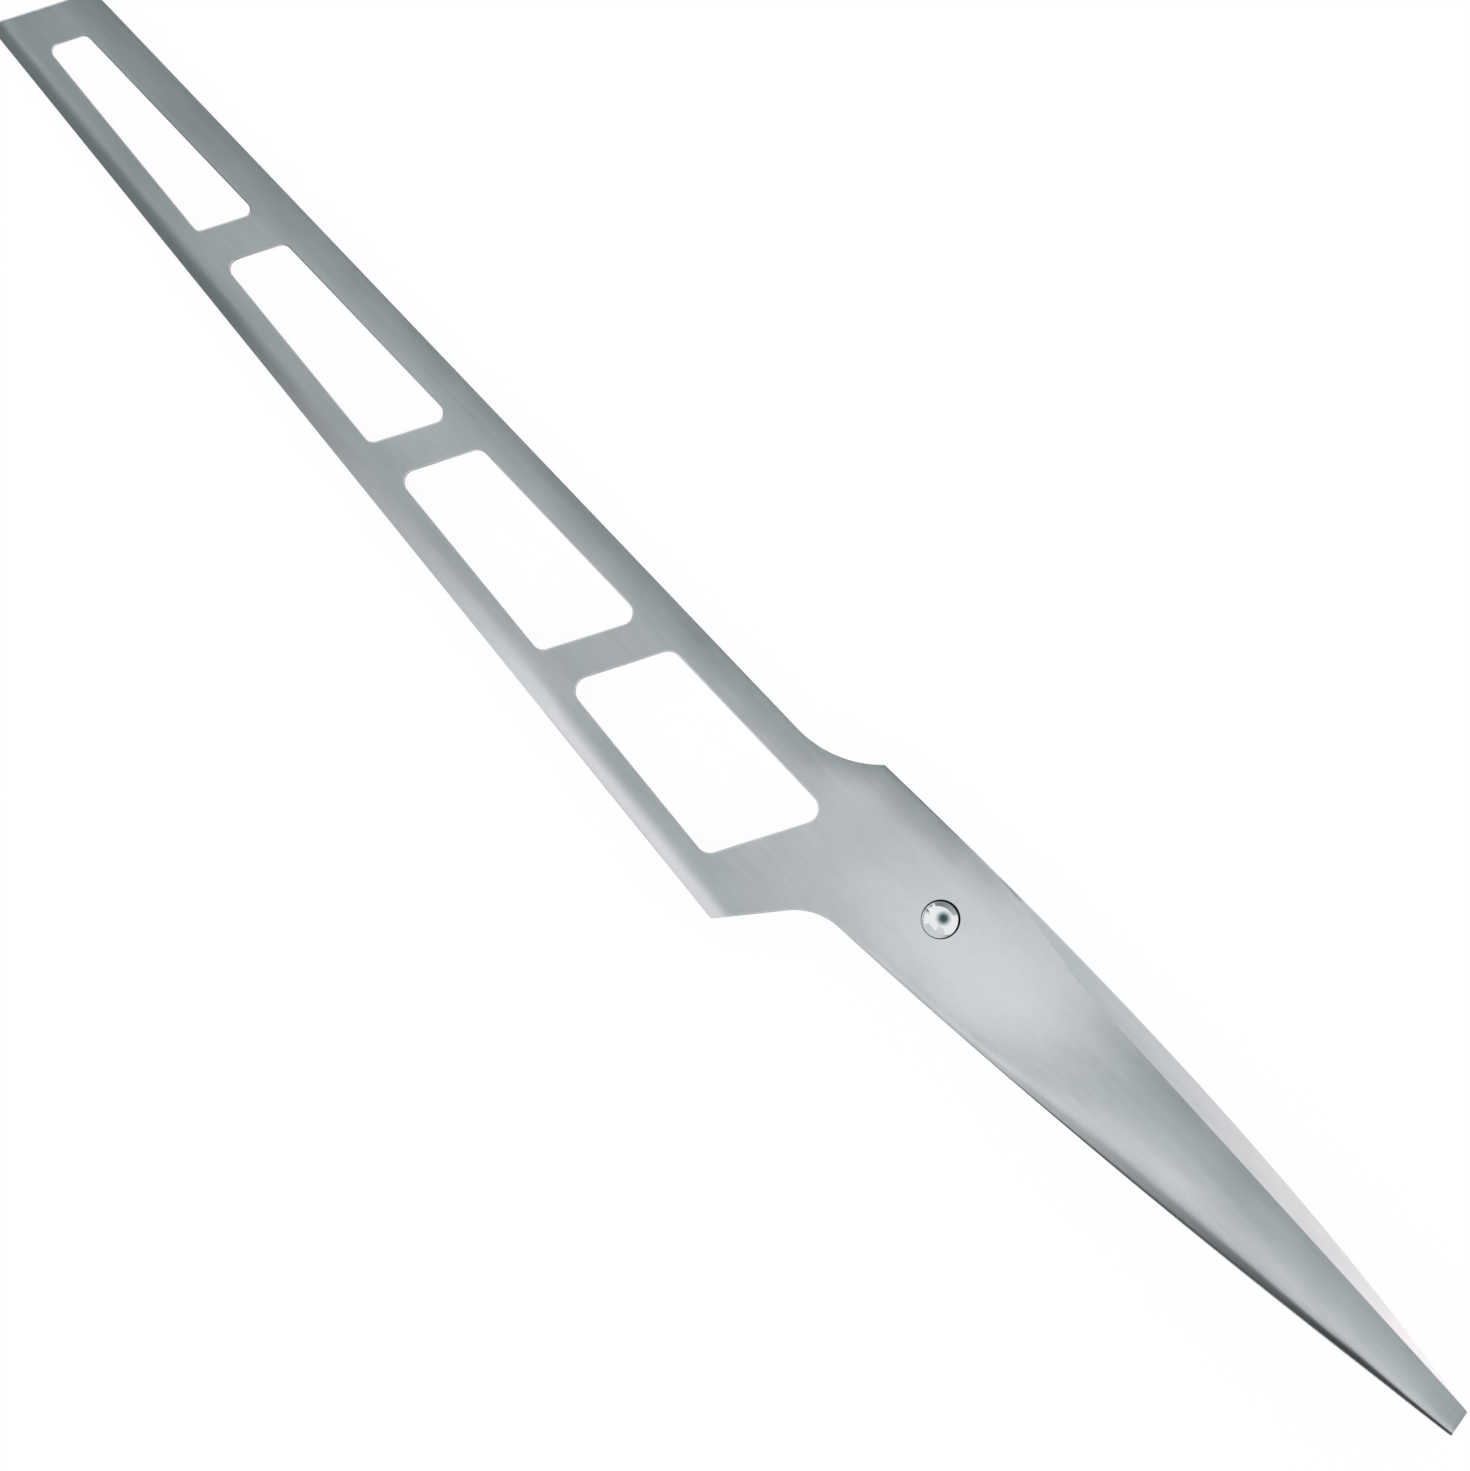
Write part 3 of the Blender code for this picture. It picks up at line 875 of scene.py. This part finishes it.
@dataclass
class Blade:
    """Plate with its windows and ground edge, swelling into the bolster."""

    lines: KnifeLines
    tip_depth: float = 0.0147
    heel_depth: float = 0.02865
    heel_setback: float = 0.0013
    end_lean: float = math.tan(math.radians(26.0))
    trailing_lean: float = math.tan(math.radians(37.5))
    tip_radius: float = 0.0008
    heel_radius: float = 0.0004
    throat_radius: float = 0.0098
    shoulder_radius: float = 0.0175
    edge_thickness: float = 0.0003
    grind_at_tip: float = 0.0038
    grind_at_heel: float = 0.0046
    grind_power: float = 4.0
    grind_bunching: float = 1.5
    ground_share: float = 0.3
    roll_start: float = 0.157
    roll_run: float = 0.017
    window_count: int = 4
    spine_rail: float = 0.0053
    edge_rail_at_tip: float = 0.0046
    edge_rail_at_heel: float = 0.0052
    tip_bar: float = 0.00655
    crossbar: float = 0.00635
    window_shortening: float = 0.0008
    last_window_inset: float = 0.0001
    first_corner_radius: float = 0.0011
    corner_radius_step: float = 0.00037
    overrun: float = 0.0015
    rim_round: float = 0.0002
    corner_steps: int = 10
    sweep_steps: int = 28
    swell_steps: int = 40
    roll_steps: int = 22
    grind_steps: int = 10
    rim_steps: int = 3
    flat_limit: float = 1e-7

    @property
    def heel_x(self) -> float:
        """Place of the heel corner along the knife."""
        return self.lines.blade_length - self.heel_setback

    def edge_y(self, x: float) -> float:
        """Cutting edge."""
        return -mix(self.tip_depth, self.heel_depth, x / self.heel_x)

    def grind_y(self, x: float, share: float) -> float:
        """Line at a share of the way from the cutting edge to where its grind starts."""
        return self.edge_y(x) + mix(self.grind_at_tip, self.grind_at_heel, x / self.heel_x) * share

    def window_floor_y(self, x: float) -> float:
        """Lower side of the windows."""
        return self.edge_y(x) + mix(self.edge_rail_at_tip, self.edge_rail_at_heel, x / self.heel_x)

    def off_edge(self, x: float, y: float) -> float:
        """Share of the way from the cutting edge to where its grind starts, and 1 above it."""
        share = (y - self.edge_y(x)) / (self.grind_y(x, 1.0) - self.edge_y(x))
        return min(max(share, 0.0), 1.0)

    def roll_line(self, x: float) -> float:
        """Line along the spine and the shoulder that the soft roll of the side follows."""
        top = self.lines.top_y(max(x, self.lines.blade_length))
        return top * ease((x - self.roll_start) / self.roll_run)

    def half(self, x: float, y: float) -> float:
        """Half-thickness of the plate, rolled off at the spine and ground to the cutting edge."""
        whole = self.lines.half_thickness(x) - self.lines.roll(x, self.roll_line(x) - y)
        return mix(whole, self.edge_thickness / 2, (1 - self.off_edge(x, y)) ** self.grind_power)

    def _throat(self) -> Vector:
        """Sharp corner between the trailing edge and the belly.

        Returns:
            Its place.
        """
        joint, belly = self.lines.joint_x, self.lines.belly_y
        slope = (belly(joint) - belly(self.lines.blade_length)) / self.lines.bolster_length
        under_heel = belly(joint) + slope * (self.heel_x - joint)
        rise = (under_heel - self.edge_y(self.heel_x)) / (1 - slope * self.trailing_lean)
        return flat_point(self.heel_x + self.trailing_lean * rise, self.edge_y(self.heel_x) + rise)

    def _draw_outline(self, bm: BMesh) -> None:
        """Draw the plate from the tip along the spine to past the joint and back along the edge.

        Args:
            bm: Mesh to draw on.
        """
        lines, steps = self.lines, self.corner_steps
        tip_top = flat_point(self.end_lean * self.tip_depth, 0.0)
        tip_low = flat_point(0.0, self.edge_y(0.0))
        heel = flat_point(self.heel_x, self.edge_y(self.heel_x))
        turn = math.acos(1 - lines.shoulder_rise / self.shoulder_radius)
        rise_x = lines.blade_length - self.shoulder_radius * math.sin(turn)
        rise_start = flat_point(rise_x, 0.0)
        rear = lines.joint_x + self.overrun
        pen = Pen(bm, halfway(tip_low, tip_top))
        pen.corner(tip_top, self.tip_radius, rise_start, steps)
        pen.line_to(rise_start)
        pen.arc(flat_point(rise_x, self.shoulder_radius), turn, self.sweep_steps)
        for t in shares(self.swell_steps)[1:]:
            x = mix(lines.blade_length, rear, t)
            pen.line_to(flat_point(x, lines.top_y(x)))
        for x in (rear, lines.joint_x):
            pen.line_to(flat_point(x, lines.belly_y(x)))
        pen.corner(self._throat(), self.throat_radius, heel, self.sweep_steps)
        pen.corner(heel, self.heel_radius, tip_low, steps)
        pen.corner(tip_low, self.tip_radius, tip_top, steps)
        pen.close()

    def _draw_windows(self, bm: BMesh) -> None:
        """Draw the leaning windows, each a little shorter and rounder than the one before.

        Args:
            bm: Mesh to draw on.
        """
        upper, gaps = -self.spine_rail, self.window_count - 1
        start = self.end_lean * (self.tip_depth - self.spine_rail) + self.tip_bar
        open_length = self.lines.blade_length - self.last_window_inset - start
        open_length -= gaps * self.crossbar
        length = open_length / self.window_count + self.window_shortening * gaps / 2
        floor_slope = (self.window_floor_y(self.heel_x) - self.window_floor_y(0.0)) / self.heel_x

        def floor_corner(x: float) -> Vector:
            """Lower corner of a window whose upper corner is at x."""
            depth = (self.window_floor_y(x) - upper) / (1 - floor_slope * self.end_lean)
            return flat_point(x + self.end_lean * depth, upper + depth)

        for i in range(self.window_count):
            end = start + length - i * self.window_shortening
            radius = self.first_corner_radius + i * self.corner_radius_step
            front, rear = flat_point(start, upper), flat_point(end, upper)
            corners = [front, rear, floor_corner(end), floor_corner(start)]
            pen = Pen(bm, halfway(corners[-1], front))
            for corner, following in zip(corners, corners[1:] + corners[:1]):
                pen.corner(corner, radius, following, self.corner_steps)
            pen.close()
            start = end + self.crossbar

    def _round_rims(self, bm: BMesh) -> None:
        """Inset a narrow band along every rim and note how far it drops below the flat.

        Args:
            bm: Flat mesh of the plate.
        """
        drop = bm.verts.layers.float.new("drop")
        radius = self.rim_round
        for vert in bm.verts:
            vert[drop] = radius
        flat: set[BMFace] = set(bm.faces)
        inset = 0.0
        for t in shares(self.rim_steps)[1:]:
            angle = math.pi / 2 * t
            reach = radius * (1 - math.cos(angle))
            band = bmesh.ops.inset_region(
                bm,
                faces=list(flat),
                thickness=reach - inset,
                use_boundary=True,
                use_even_offset=True,
            )
            inset = reach
            for face in band["faces"]:
                for vert in face.verts:
                    if any(other in flat for other in vert.link_faces):
                        vert[drop] = radius * (1 - math.sin(angle))

    def _cut(self, bm: BMesh, point: Vector, across: Vector, clear: bool = False) -> None:
        """Split the mesh with an upright plane.

        Args:
            bm: Mesh to split.
            point: Point on the plane.
            across: Normal of the plane.
            clear: Whether what lies beyond the plane is removed.
        """
        bmesh.ops.bisect_plane(
            bm,
            geom=bm.verts[:] + bm.edges[:] + bm.faces[:],
            plane_co=point,
            plane_no=across,
            clear_outer=clear,
            dist=SPLIT_TOLERANCE,
        )

    def _thicken(self, bm: BMesh) -> None:
        """Turn the flat plate into a solid with its rounded rims and ground edge.

        Args:
            bm: Flat mesh of the plate, with its drops.
        """
        drop = bm.verts.layers.float["drop"]
        lower = bm.verts[:]
        made = bmesh.ops.extrude_face_region(bm, geom=bm.faces[:])
        upper = [part for part in made["geom"] if isinstance(part, BMVert)]
        for verts, side in ((lower, -1), (upper, 1)):
            for vert in verts:
                x, y = vert.co.x, vert.co.y
                vert.co.z = side * (self.half(x, y) - vert[drop] * self.off_edge(x, y))

    def _mark_lines(self, bm: BMesh) -> None:
        """Give the ground bevel its cross-brushed steel, lightened a little as a painted highlight,
        and mark the lines where the shading breaks.

        Args:
            bm: Mesh of the solid plate.
        """
        drop = bm.verts.layers.float["drop"]
        flat: set[BMFace] = set()
        for face in bm.faces:
            middle = face.calc_center_median()
            ground = middle.x < self.heel_x and middle.y < self.grind_y(middle.x, self.ground_share)
            face.material_index = int(ground)
            if all(vert[drop] < self.flat_limit for vert in face.verts):
                flat.add(face)
        for edge in bm.edges:
            sides = edge.link_faces
            same_kind = len({face in flat for face in sides}) == 1
            edge.smooth = same_kind and edge.calc_face_angle(math.pi) < SHARP_ANGLE

    def build(self, knife: KnifeFrame) -> bpy.types.Object:
        """Model the blade.

        Args:
            knife: Where the knife lies.

        Returns:
            The piece.
        """
        bm = bmesh.new()
        self._draw_outline(bm)
        self._draw_windows(bm)
        bmesh.ops.triangle_fill(bm, edges=bm.edges[:], use_beauty=True)
        self._round_rims(bm)
        grind_cuts = [t**self.grind_bunching for t in shares(self.grind_steps)[1:]]
        for share in (self.ground_share, *grind_cuts):
            low = flat_point(0.0, self.grind_y(0.0, share))
            along = flat_point(self.heel_x, self.grind_y(self.heel_x, share)) - low
            self._cut(bm, low, flat_point(-along.y, along.x).normalized())
        for t in shares(self.roll_steps):
            height = mix(-self.lines.roll_height, self.lines.top_y(self.lines.joint_x), t)
            self._cut(bm, flat_point(0.0, height), OUT)
        for t in shares(self.swell_steps)[:-1]:
            self._cut(bm, flat_point(mix(self.roll_start, self.lines.joint_x, t), 0.0), ALONG)
        self._thicken(bm)
        self._cut(bm, flat_point(self.lines.joint_x, 0.0), ALONG, clear=True)
        bmesh.ops.holes_fill(bm, edges=[e for e in bm.edges if e.is_boundary], sides=0)
        bmesh.ops.recalc_face_normals(bm, faces=bm.faces[:])
        self._mark_lines(bm)
        return make_piece("blade_plate", bm, knife)

    def dress(
        self, piece: bpy.types.Object, flat: bpy.types.Material, edge: bpy.types.Material
    ) -> None:
        """Give the plate its satin faces and ground edge, and put it in the blade's place."""
        settle(piece, (flat, edge), "blade")


@dataclass
class ThumbBead:
    """Polished ball that stands out of both sides of the handle."""

    lines: KnifeLines
    diameter: float = 0.0074
    setback: float = 0.0224
    depth: float = 0.0043
    gap: float = 0.00016
    seat_shift: Place = (0.00004, 0.00012, 0.0)
    arc_steps: int = 32
    turn_steps: int = 72

    @property
    def centre(self) -> Vector:
        """Centre of the ball."""
        return flat_point(self.lines.blade_length + self.setback, -self.depth)

    def ball(self, radius: float) -> BMesh:
        """Ball turned from a half circle about the axis that crosses the knife.

        Args:
            radius: Radius of the ball.

        Returns:
            Its mesh.
        """
        bm = bmesh.new()
        pole, middle = bm.verts.new(UP * radius), Vector()
        bmesh.ops.spin(bm, geom=[pole], cent=middle, axis=OUT, angle=math.pi, steps=self.arc_steps)
        bmesh.ops.spin(
            bm,
            geom=bm.verts[:] + bm.edges[:],
            cent=middle,
            axis=UP,
            angle=2 * math.pi,
            steps=self.turn_steps,
            use_merge=True,
        )
        bmesh.ops.remove_doubles(bm, verts=bm.verts[:], dist=MERGE_DISTANCE)
        bmesh.ops.recalc_face_normals(bm, faces=bm.faces[:])
        bmesh.ops.translate(bm, verts=bm.verts[:], vec=self.centre)
        return bm

    def build(self, knife: KnifeFrame) -> bpy.types.Object:
        """Model the bead."""
        return make_piece("thumb_bead_ball", self.ball(self.diameter / 2), knife)

    def seat(self, knife: KnifeFrame) -> bpy.types.Object:
        """Model the body that is cut out of a shell to seat the bead.

        Args:
            knife: Where the knife lies.

        Returns:
            The body, a little larger than the bead.
        """
        seat = self.ball(self.diameter / 2 + self.gap)
        bmesh.ops.translate(seat, verts=seat.verts[:], vec=self.seat_shift)
        return make_piece("bead_seat", seat, knife)

    def dress(self, piece: bpy.types.Object, polish: bpy.types.Material) -> None:
        """Polish the bead and put it in its CAD node's place."""
        settle(piece, (polish,), "thumb_bead")


@dataclass
class HandleShell:
    """Pressed half of the handle on one side of the mid-plane."""

    lines: KnifeLines
    side: Side

    @property
    def node(self) -> str:
        """Name of the shell's CAD node."""
        return f"handle_shell_{self.side.name.lower()}"

    def section(self, x: float) -> list[Vector]:
        """Closed section with the notches for the long welds.

        Args:
            x: Station along the knife.

        Returns:
            Its points.
        """
        lines = self.lines
        top, belly = lines.top_y(x) - lines.weld_depth, lines.belly_y(x) + lines.weld_depth
        loop = lines.side_profile(x)
        loop += [(belly, lines.weld_half), (belly, 0.0), (top, 0.0), (top, lines.weld_half)]
        return [Vector((lines.leaning(x, y), y, self.side.value * z)) for y, z in loop]

    def build(self, knife: KnifeFrame, bead: ThumbBead) -> bpy.types.Object:
        """Model the shell with the bead's seat.

        Args:
            knife: Where the knife lies.
            bead: Bead that sits in the shell.

        Returns:
            The piece.
        """
        lines = self.lines
        sections = [self.section(x) for x in lines.stations]
        count = len(sections[0])
        bm = loft(sections)
        last = lines.handle_steps * count
        skin = range(last, last + len(lines.side_profile(lines.shell_x)))
        rim = [e for e in bm.edges if all(v.index in skin for v in e.verts)]
        ridges = row_edges(bm, count, RIDGE_ROW)
        creases = row_edges(bm, count, lines.crease_row)
        round_edges(bm, rim, lines.butt_round, lines.butt_round_steps)
        ridges = [e for e in ridges if e.is_valid]
        round_edges(bm, ridges, lines.ridge_round, lines.ridge_round_steps)
        for crease in creases:
            if crease.is_valid:
                crease.smooth = False
        piece = make_piece(f"{self.node}_skin", bm, knife)
        cut_away(piece, bead.seat(knife))
        shade_by_area(piece)
        return piece

    def dress(self, piece: bpy.types.Object, steel: bpy.types.Material) -> None:
        """Give the shell its satin steel and put it in its CAD node's place."""
        piece.data.materials.clear()
        settle(piece, (steel,), self.node)


@dataclass
class Welds:
    """Ground-flush welds of the handle: a ring at the bolster and a strip along each long seam."""

    lines: KnifeLines

    def ring(self, knife: KnifeFrame) -> bpy.types.Object:
        """Model the ring between the bolster and the shells.

        Args:
            knife: Where the knife lies.

        Returns:
            The piece.
        """
        lines = self.lines
        sections = []
        for x in (lines.joint_x, lines.shell_x):
            half = lines.side_profile(x)
            loop = half + [(y, -z) for y, z in reversed(half)]
            sections.append([Vector((x, y, z)) for y, z in loop])
        count = len(sections[0])
        bm = loft(sections)
        ridges = row_edges(bm, count, RIDGE_ROW) + row_edges(bm, count, count - 1 - RIDGE_ROW)
        round_edges(bm, ridges, lines.ridge_round, lines.ridge_round_steps)
        piece = make_piece("bolster_weld_ring", bm, knife)
        shade_by_area(piece)
        return piece

    def strip(self, knife: KnifeFrame, seam: Seam) -> bpy.types.Object:
        """Model the strip along one long seam.

        Args:
            knife: Where the knife lies.
            seam: Which seam.

        Returns:
            The piece.
        """
        lines = self.lines
        line: Callable[[float], float] = lines.top_y if seam is Seam.SPINE else lines.belly_y
        sections = []
        for x in lines.stations:
            outer, inner = line(x), line(x) + seam.value * lines.weld_depth
            loop = [(outer, lines.weld_half), (outer, -lines.weld_half)]
            loop += [(inner, -lines.weld_half), (inner, lines.weld_half)]
            sections.append([Vector((lines.leaning(x, y), y, z)) for y, z in loop])
        bm = loft(sections)
        last = lines.handle_steps * len(sections[0])
        end = [e for e in bm.edges if {v.index for v in e.verts} == {last, last + 1}]
        round_edges(bm, end, lines.butt_round, lines.butt_round_steps)
        piece = make_piece(f"{seam.name.lower()}_seam_strip", bm, knife)
        shade_by_area(piece)
        return piece

    def dress(self, piece: bpy.types.Object, steel: bpy.types.Material, node: str) -> None:
        """Give a weld the brushing that runs over it and put it in its CAD node's place."""
        settle(piece, (steel,), node)


@dataclass(frozen=True)
class Softbox:
    """Soft lamp with a rectangular face, placed and aimed in the knife's own frame."""

    name: str
    place: Place
    aim: Place
    width: float
    height: float
    radiance: float
    tint: Colour = (1.0, 0.965, 0.955)

    def build(self, knife: KnifeFrame) -> bpy.types.Object:
        """Make the lamp.

        Args:
            knife: Where the knife lies.

        Returns:
            The lamp.
        """
        light = bpy.data.lights.new(self.name, "AREA")
        light.shape = "RECTANGLE"
        light.size, light.size_y = self.width, self.height
        light.color = self.tint
        light.energy = self.radiance * math.pi * self.width * self.height
        lamp = bpy.data.objects.new(self.name, light)
        bpy.context.scene.collection.objects.link(lamp)
        place = knife.point(*self.place)
        lamp.location = place
        lamp.rotation_euler = (knife.point(*self.aim) - place).to_track_quat("-Z", "Y").to_euler()
        lamp.visible_camera = False
        return lamp

    def spare(self, lamp: bpy.types.Object, piece: bpy.types.Object) -> None:
        """Keep the lamp's light off a piece.

        Args:
            lamp: The lamp.
            piece: Piece that it doesn't light.
        """
        group = bpy.data.collections.new(f"{self.name}_spares")
        group.objects.link(piece)
        group.collection_objects[0].light_linking.link_state = "EXCLUDE"
        lamp.light_linking.receiver_collection = group


@dataclass(frozen=True)
class Shade:
    """Darker patch of the tent, centred on a direction of the knife's own frame."""

    towards: Place
    inner: float
    outer: float
    level: float

    def strength(self, nodes: Nodes, look: Value, knife: KnifeFrame) -> Value:
        """Share of the tent's light that is left.

        Args:
            nodes: Builder of the world's tree.
            look: Direction that the light comes from.
            knife: Where the knife lies.

        Returns:
            The patch's level inside it, rising to 1 outside.
        """
        ends = {0: look, 1: knife.direction(*self.towards)}
        facing = nodes.value("ShaderNodeVectorMath", {"operation": "DOT_PRODUCT"}, ends, "Value")
        turn = nodes.value("ShaderNodeMath", {"operation": "ARCCOSINE"}, {0: facing})
        sockets = {
            "Value": turn,
            "From Min": math.radians(self.inner),
            "From Max": math.radians(self.outer),
            "To Min": self.level,
            "To Max": 1.0,
        }
        return nodes.value("ShaderNodeMapRange", {"interpolation_type": "SMOOTHSTEP"}, sockets)


def make_sheet(name: str, size: tuple[float, float], place: Matrix) -> bpy.types.Object:
    """Put up a flat sheet of the studio.

    Args:
        name: Name of the sheet.
        size: Its length and width.
        place: Its place and turn.

    Returns:
        The sheet.
    """
    bm = bmesh.new()
    bmesh.ops.create_grid(bm, x_segments=1, y_segments=1, size=0.5)
    bmesh.ops.scale(bm, vec=(*size, 1.0), verts=bm.verts[:])
    bmesh.ops.transform(bm, matrix=place, verts=bm.verts[:])
    sheet = add_object(name, bm)
    return sheet


@dataclass(frozen=True)
class Card:
    """Grey card on the table that only the steel's reflections show."""

    name: str
    place: tuple[float, float]
    size: tuple[float, float]
    level: float
    standing: bool = False
    fade: tuple[float, float] = (0.0, 0.3)
    far_level: float | None = None
    coolness: float = 0.2
    lift: float = 0.0002

    def _grey(self, level: float) -> Colour:
        """Grey of a level, the cooler the darker."""
        return (level * (1 - self.coolness * (1 - level)), level, level)

    def build(self, knife: KnifeFrame) -> None:
        """Put the card in its place beside the knife.

        Args:
            knife: Where the knife lies.
        """
        middle = knife.point(*self.place, 0.0)
        middle.z = CAD_BOX[0].z + self.lift + (self.size[1] / 2 if self.standing else 0.0)
        turn = Matrix.Rotation(math.pi / 2 if self.standing else 0.0, 4, "X")
        card = make_sheet(self.name, self.size, Matrix.Translation(middle) @ turn)
        material, nodes = start_material(self.name, bare=True)
        start, end = (knife.point(x, 0.0, 0.0).x for x in self.fade)
        whole = nodes.value("ShaderNodeTexCoord", output="Object")
        along = nodes.value("ShaderNodeSeparateXYZ", {}, {"Vector": whole}, "X")
        sockets = {"Value": along, "From Min": start, "From Max": end}
        share = nodes.value("ShaderNodeMapRange", {}, sockets)
        grey = nodes.blend(share, self._grey(self.level), self._grey(self.far_level or self.level))
        glow = nodes.value("ShaderNodeEmission", {}, {"Color": grey, "Strength": 1.0})
        nodes.add("ShaderNodeOutputMaterial", {}, {"Surface": glow})
        card.data.materials.append(material)
        for ray in ("camera", "diffuse", "transmission", "shadow"):
            setattr(card, f"visible_{ray}", False)


@dataclass
class Studio:
    """White table, soft tent light and a camera that looks straight at the blade."""

    view_centre: Place = (0.1521, -0.0074, 0.0)
    view_width: float = 0.21736
    view_turn: float = math.atan2(0.72343, 0.69038)
    lens: float = 450.0
    clip_end: float = 100.0
    table_size: float = 6.0
    table_glow: float = 1.05
    table_share: float = 0.90
    table_white: float = 0.80
    cards: tuple[Card, ...] = (
        Card("belly_card", (0.15, -0.262), (1.2, 0.50), 0.08),
        Card(
            "grip_card", (0.23, -0.024), (0.1, 0.023), 0.70,
            standing=True, fade=(0.213, 0.272), far_level=0.08,
        ),
        Card("butt_card", (0.314, -0.019), (0.072, 0.028), 0.05, standing=True),
        Card("grip_shade", (0.29, -0.09), (0.14, 0.25), 0.76, standing=True),
        Card("spine_card", (0.15, 0.224), (1.2, 0.40), 0.74, fade=(0.22, 0.30), far_level=1.22),
        Card(
            "facet_card", (0.2825, 0.006), (0.055, 0.036), 0.98,
            fade=(0.268, 0.285), far_level=1.2,
        ),
        Card("rail_card", (0.0625, 0.006), (0.185, 0.011), 0.30, standing=True),
        Card(
            "shoulder_card", (0.177, 0.0125), (0.044, 0.016), 0.25,
            standing=True, fade=(0.178, 0.196), far_level=0.45,
        ),
        Card(
            "tip_card", (0.05, -0.0265), (0.16, 0.048), 0.20,
            standing=True, fade=(0.055, 0.13), far_level=0.9,
        ),
    )
    tent_level: float = 0.95
    shade_tint: Colour = (0.6, 0.97, 1.0)
    shades: tuple[Shade, ...] = (
        Shade((0.0, 0.30, 1.0), 9.0, 44.0, 0.10),
        Shade((0.0, 1.0, 0.10), 12.0, 36.0, 0.66),
    )
    softboxes: tuple[Softbox, ...] = (
        Softbox("near_softbox", (0.187, -0.005, 0.085), (0.187, -0.005, 0.0), 0.02, 0.034, 0.98),
        Softbox("wide_softbox", (0.128, -0.012, 0.45), (0.128, -0.012, 0.0), 0.12, 0.20, 0.27),
        Softbox(
            "strip_softbox", (0.0985, -0.0105, 0.04), (0.0985, -0.0105, 0.0), 0.007, 0.124, 0.26
        ),
        Softbox("rear_softbox", (0.293, -0.014, 0.15), (0.287, -0.002, 0.0), 0.055, 0.04, 0.31),
    )

    def camera(self, knife: KnifeFrame) -> None:
        """Set up the camera square to the blade, with the photograph's turn and width of view.

        Args:
            knife: Where the knife lies.
        """
        data = bpy.data.cameras.new("camera")
        data.lens = self.lens
        camera = bpy.data.objects.new("camera", data)
        bpy.context.scene.collection.objects.link(camera)
        distance = self.view_width * self.lens / data.sensor_width
        turn = Matrix.Rotation(self.view_turn, 4, "Z")
        place = Matrix.Translation(Vector(self.view_centre) + UP * distance)
        camera.matrix_world = knife.matrix @ place @ turn
        data.clip_end = self.clip_end
        bpy.context.scene.camera = camera

    def table(self) -> None:
        """Lay a white table under the knife that keeps a faint shadow."""
        place = Matrix.Translation(UP * CAD_BOX[0].z)
        table = make_sheet("table", (self.table_size, self.table_size), place)
        material, nodes = start_material("white_table", bare=True)
        white = (*scaled(WHITE, self.table_white), 1.0)
        diffuse = nodes.value("ShaderNodeBsdfDiffuse", {}, {"Color": white})
        sockets = {"Color": (*WHITE, 1.0), "Strength": self.table_glow}
        glow = nodes.value("ShaderNodeEmission", {}, sockets)
        path = nodes.add("ShaderNodeLightPath")
        seen = Value(material.node_tree, path.outputs["Is Camera Ray"])
        for kind in ("Is Glossy Ray", "Is Transmission Ray"):
            seen = seen + Value(material.node_tree, path.outputs[kind])
        sockets = {0: seen * self.table_share, 1: diffuse, 2: glow}
        surface = nodes.value("ShaderNodeMixShader", {}, sockets)
        nodes.add("ShaderNodeOutputMaterial", {}, {"Surface": surface})
        table.data.materials.append(material)

    def tent(self, knife: KnifeFrame) -> None:
        """Hang a white tent round the table, with its darker patches.

        Args:
            knife: Where the knife lies.
        """
        world = bpy.data.worlds.new("tent")
        world.use_nodes = True
        bpy.context.scene.world = world
        nodes = Nodes(world.node_tree)
        world.node_tree.nodes.clear()
        look = nodes.value("ShaderNodeTexCoord", output="Generated")
        level, *others = [shade.strength(nodes, look, knife) for shade in self.shades]
        for other in others:
            level = level * other
        tint = nodes.blend(level, self.shade_tint, WHITE)
        sockets = {"Color": tint, "Strength": level * self.tent_level}
        glow = nodes.value("ShaderNodeBackground", {}, sockets)
        nodes.add("ShaderNodeOutputWorld", {}, {"Surface": glow})

    def build(self, knife: KnifeFrame, mirror: bpy.types.Object) -> None:
        """Set up the camera, table, cards, tent and lamps.

        Args:
            knife: Where the knife lies.
            mirror: Polished piece that would show the lamps, which therefore spare it.
        """
        self.camera(knife)
        self.table()
        for card in self.cards:
            card.build(knife)
        self.tent(knife)
        for softbox in self.softboxes:
            softbox.spare(softbox.build(knife), mirror)
        bpy.context.scene.view_settings.view_transform = "Standard"


def main() -> None:
    """Build and dress every piece, then the studio."""
    logging.basicConfig(level=logging.INFO)
    lines = KnifeLines()
    bead = ThumbBead(lines)
    knife = KnifeFrame.from_packed(frame["record"], bead.centre)
    satin = SATIN.material(knife)
    ground = LIGHTENED_GROUND.material(knife)

    blade = Blade(lines)
    blade.dress(blade.build(knife), satin, ground)
    for side in Side:
        shell = HandleShell(lines, side)
        shell.dress(shell.build(knife, bead), satin)
    ball = bead.build(knife)
    bead.dress(ball, POLISHED.material())
    welds = Welds(lines)
    welds.dress(welds.ring(knife), satin, "bolster_weld")
    for seam in Seam:
        welds.dress(welds.strip(knife, seam), satin, f"{seam.name.lower()}_seam_weld")
    Studio().build(knife, ball)


if __name__ == "__main__":
    main()
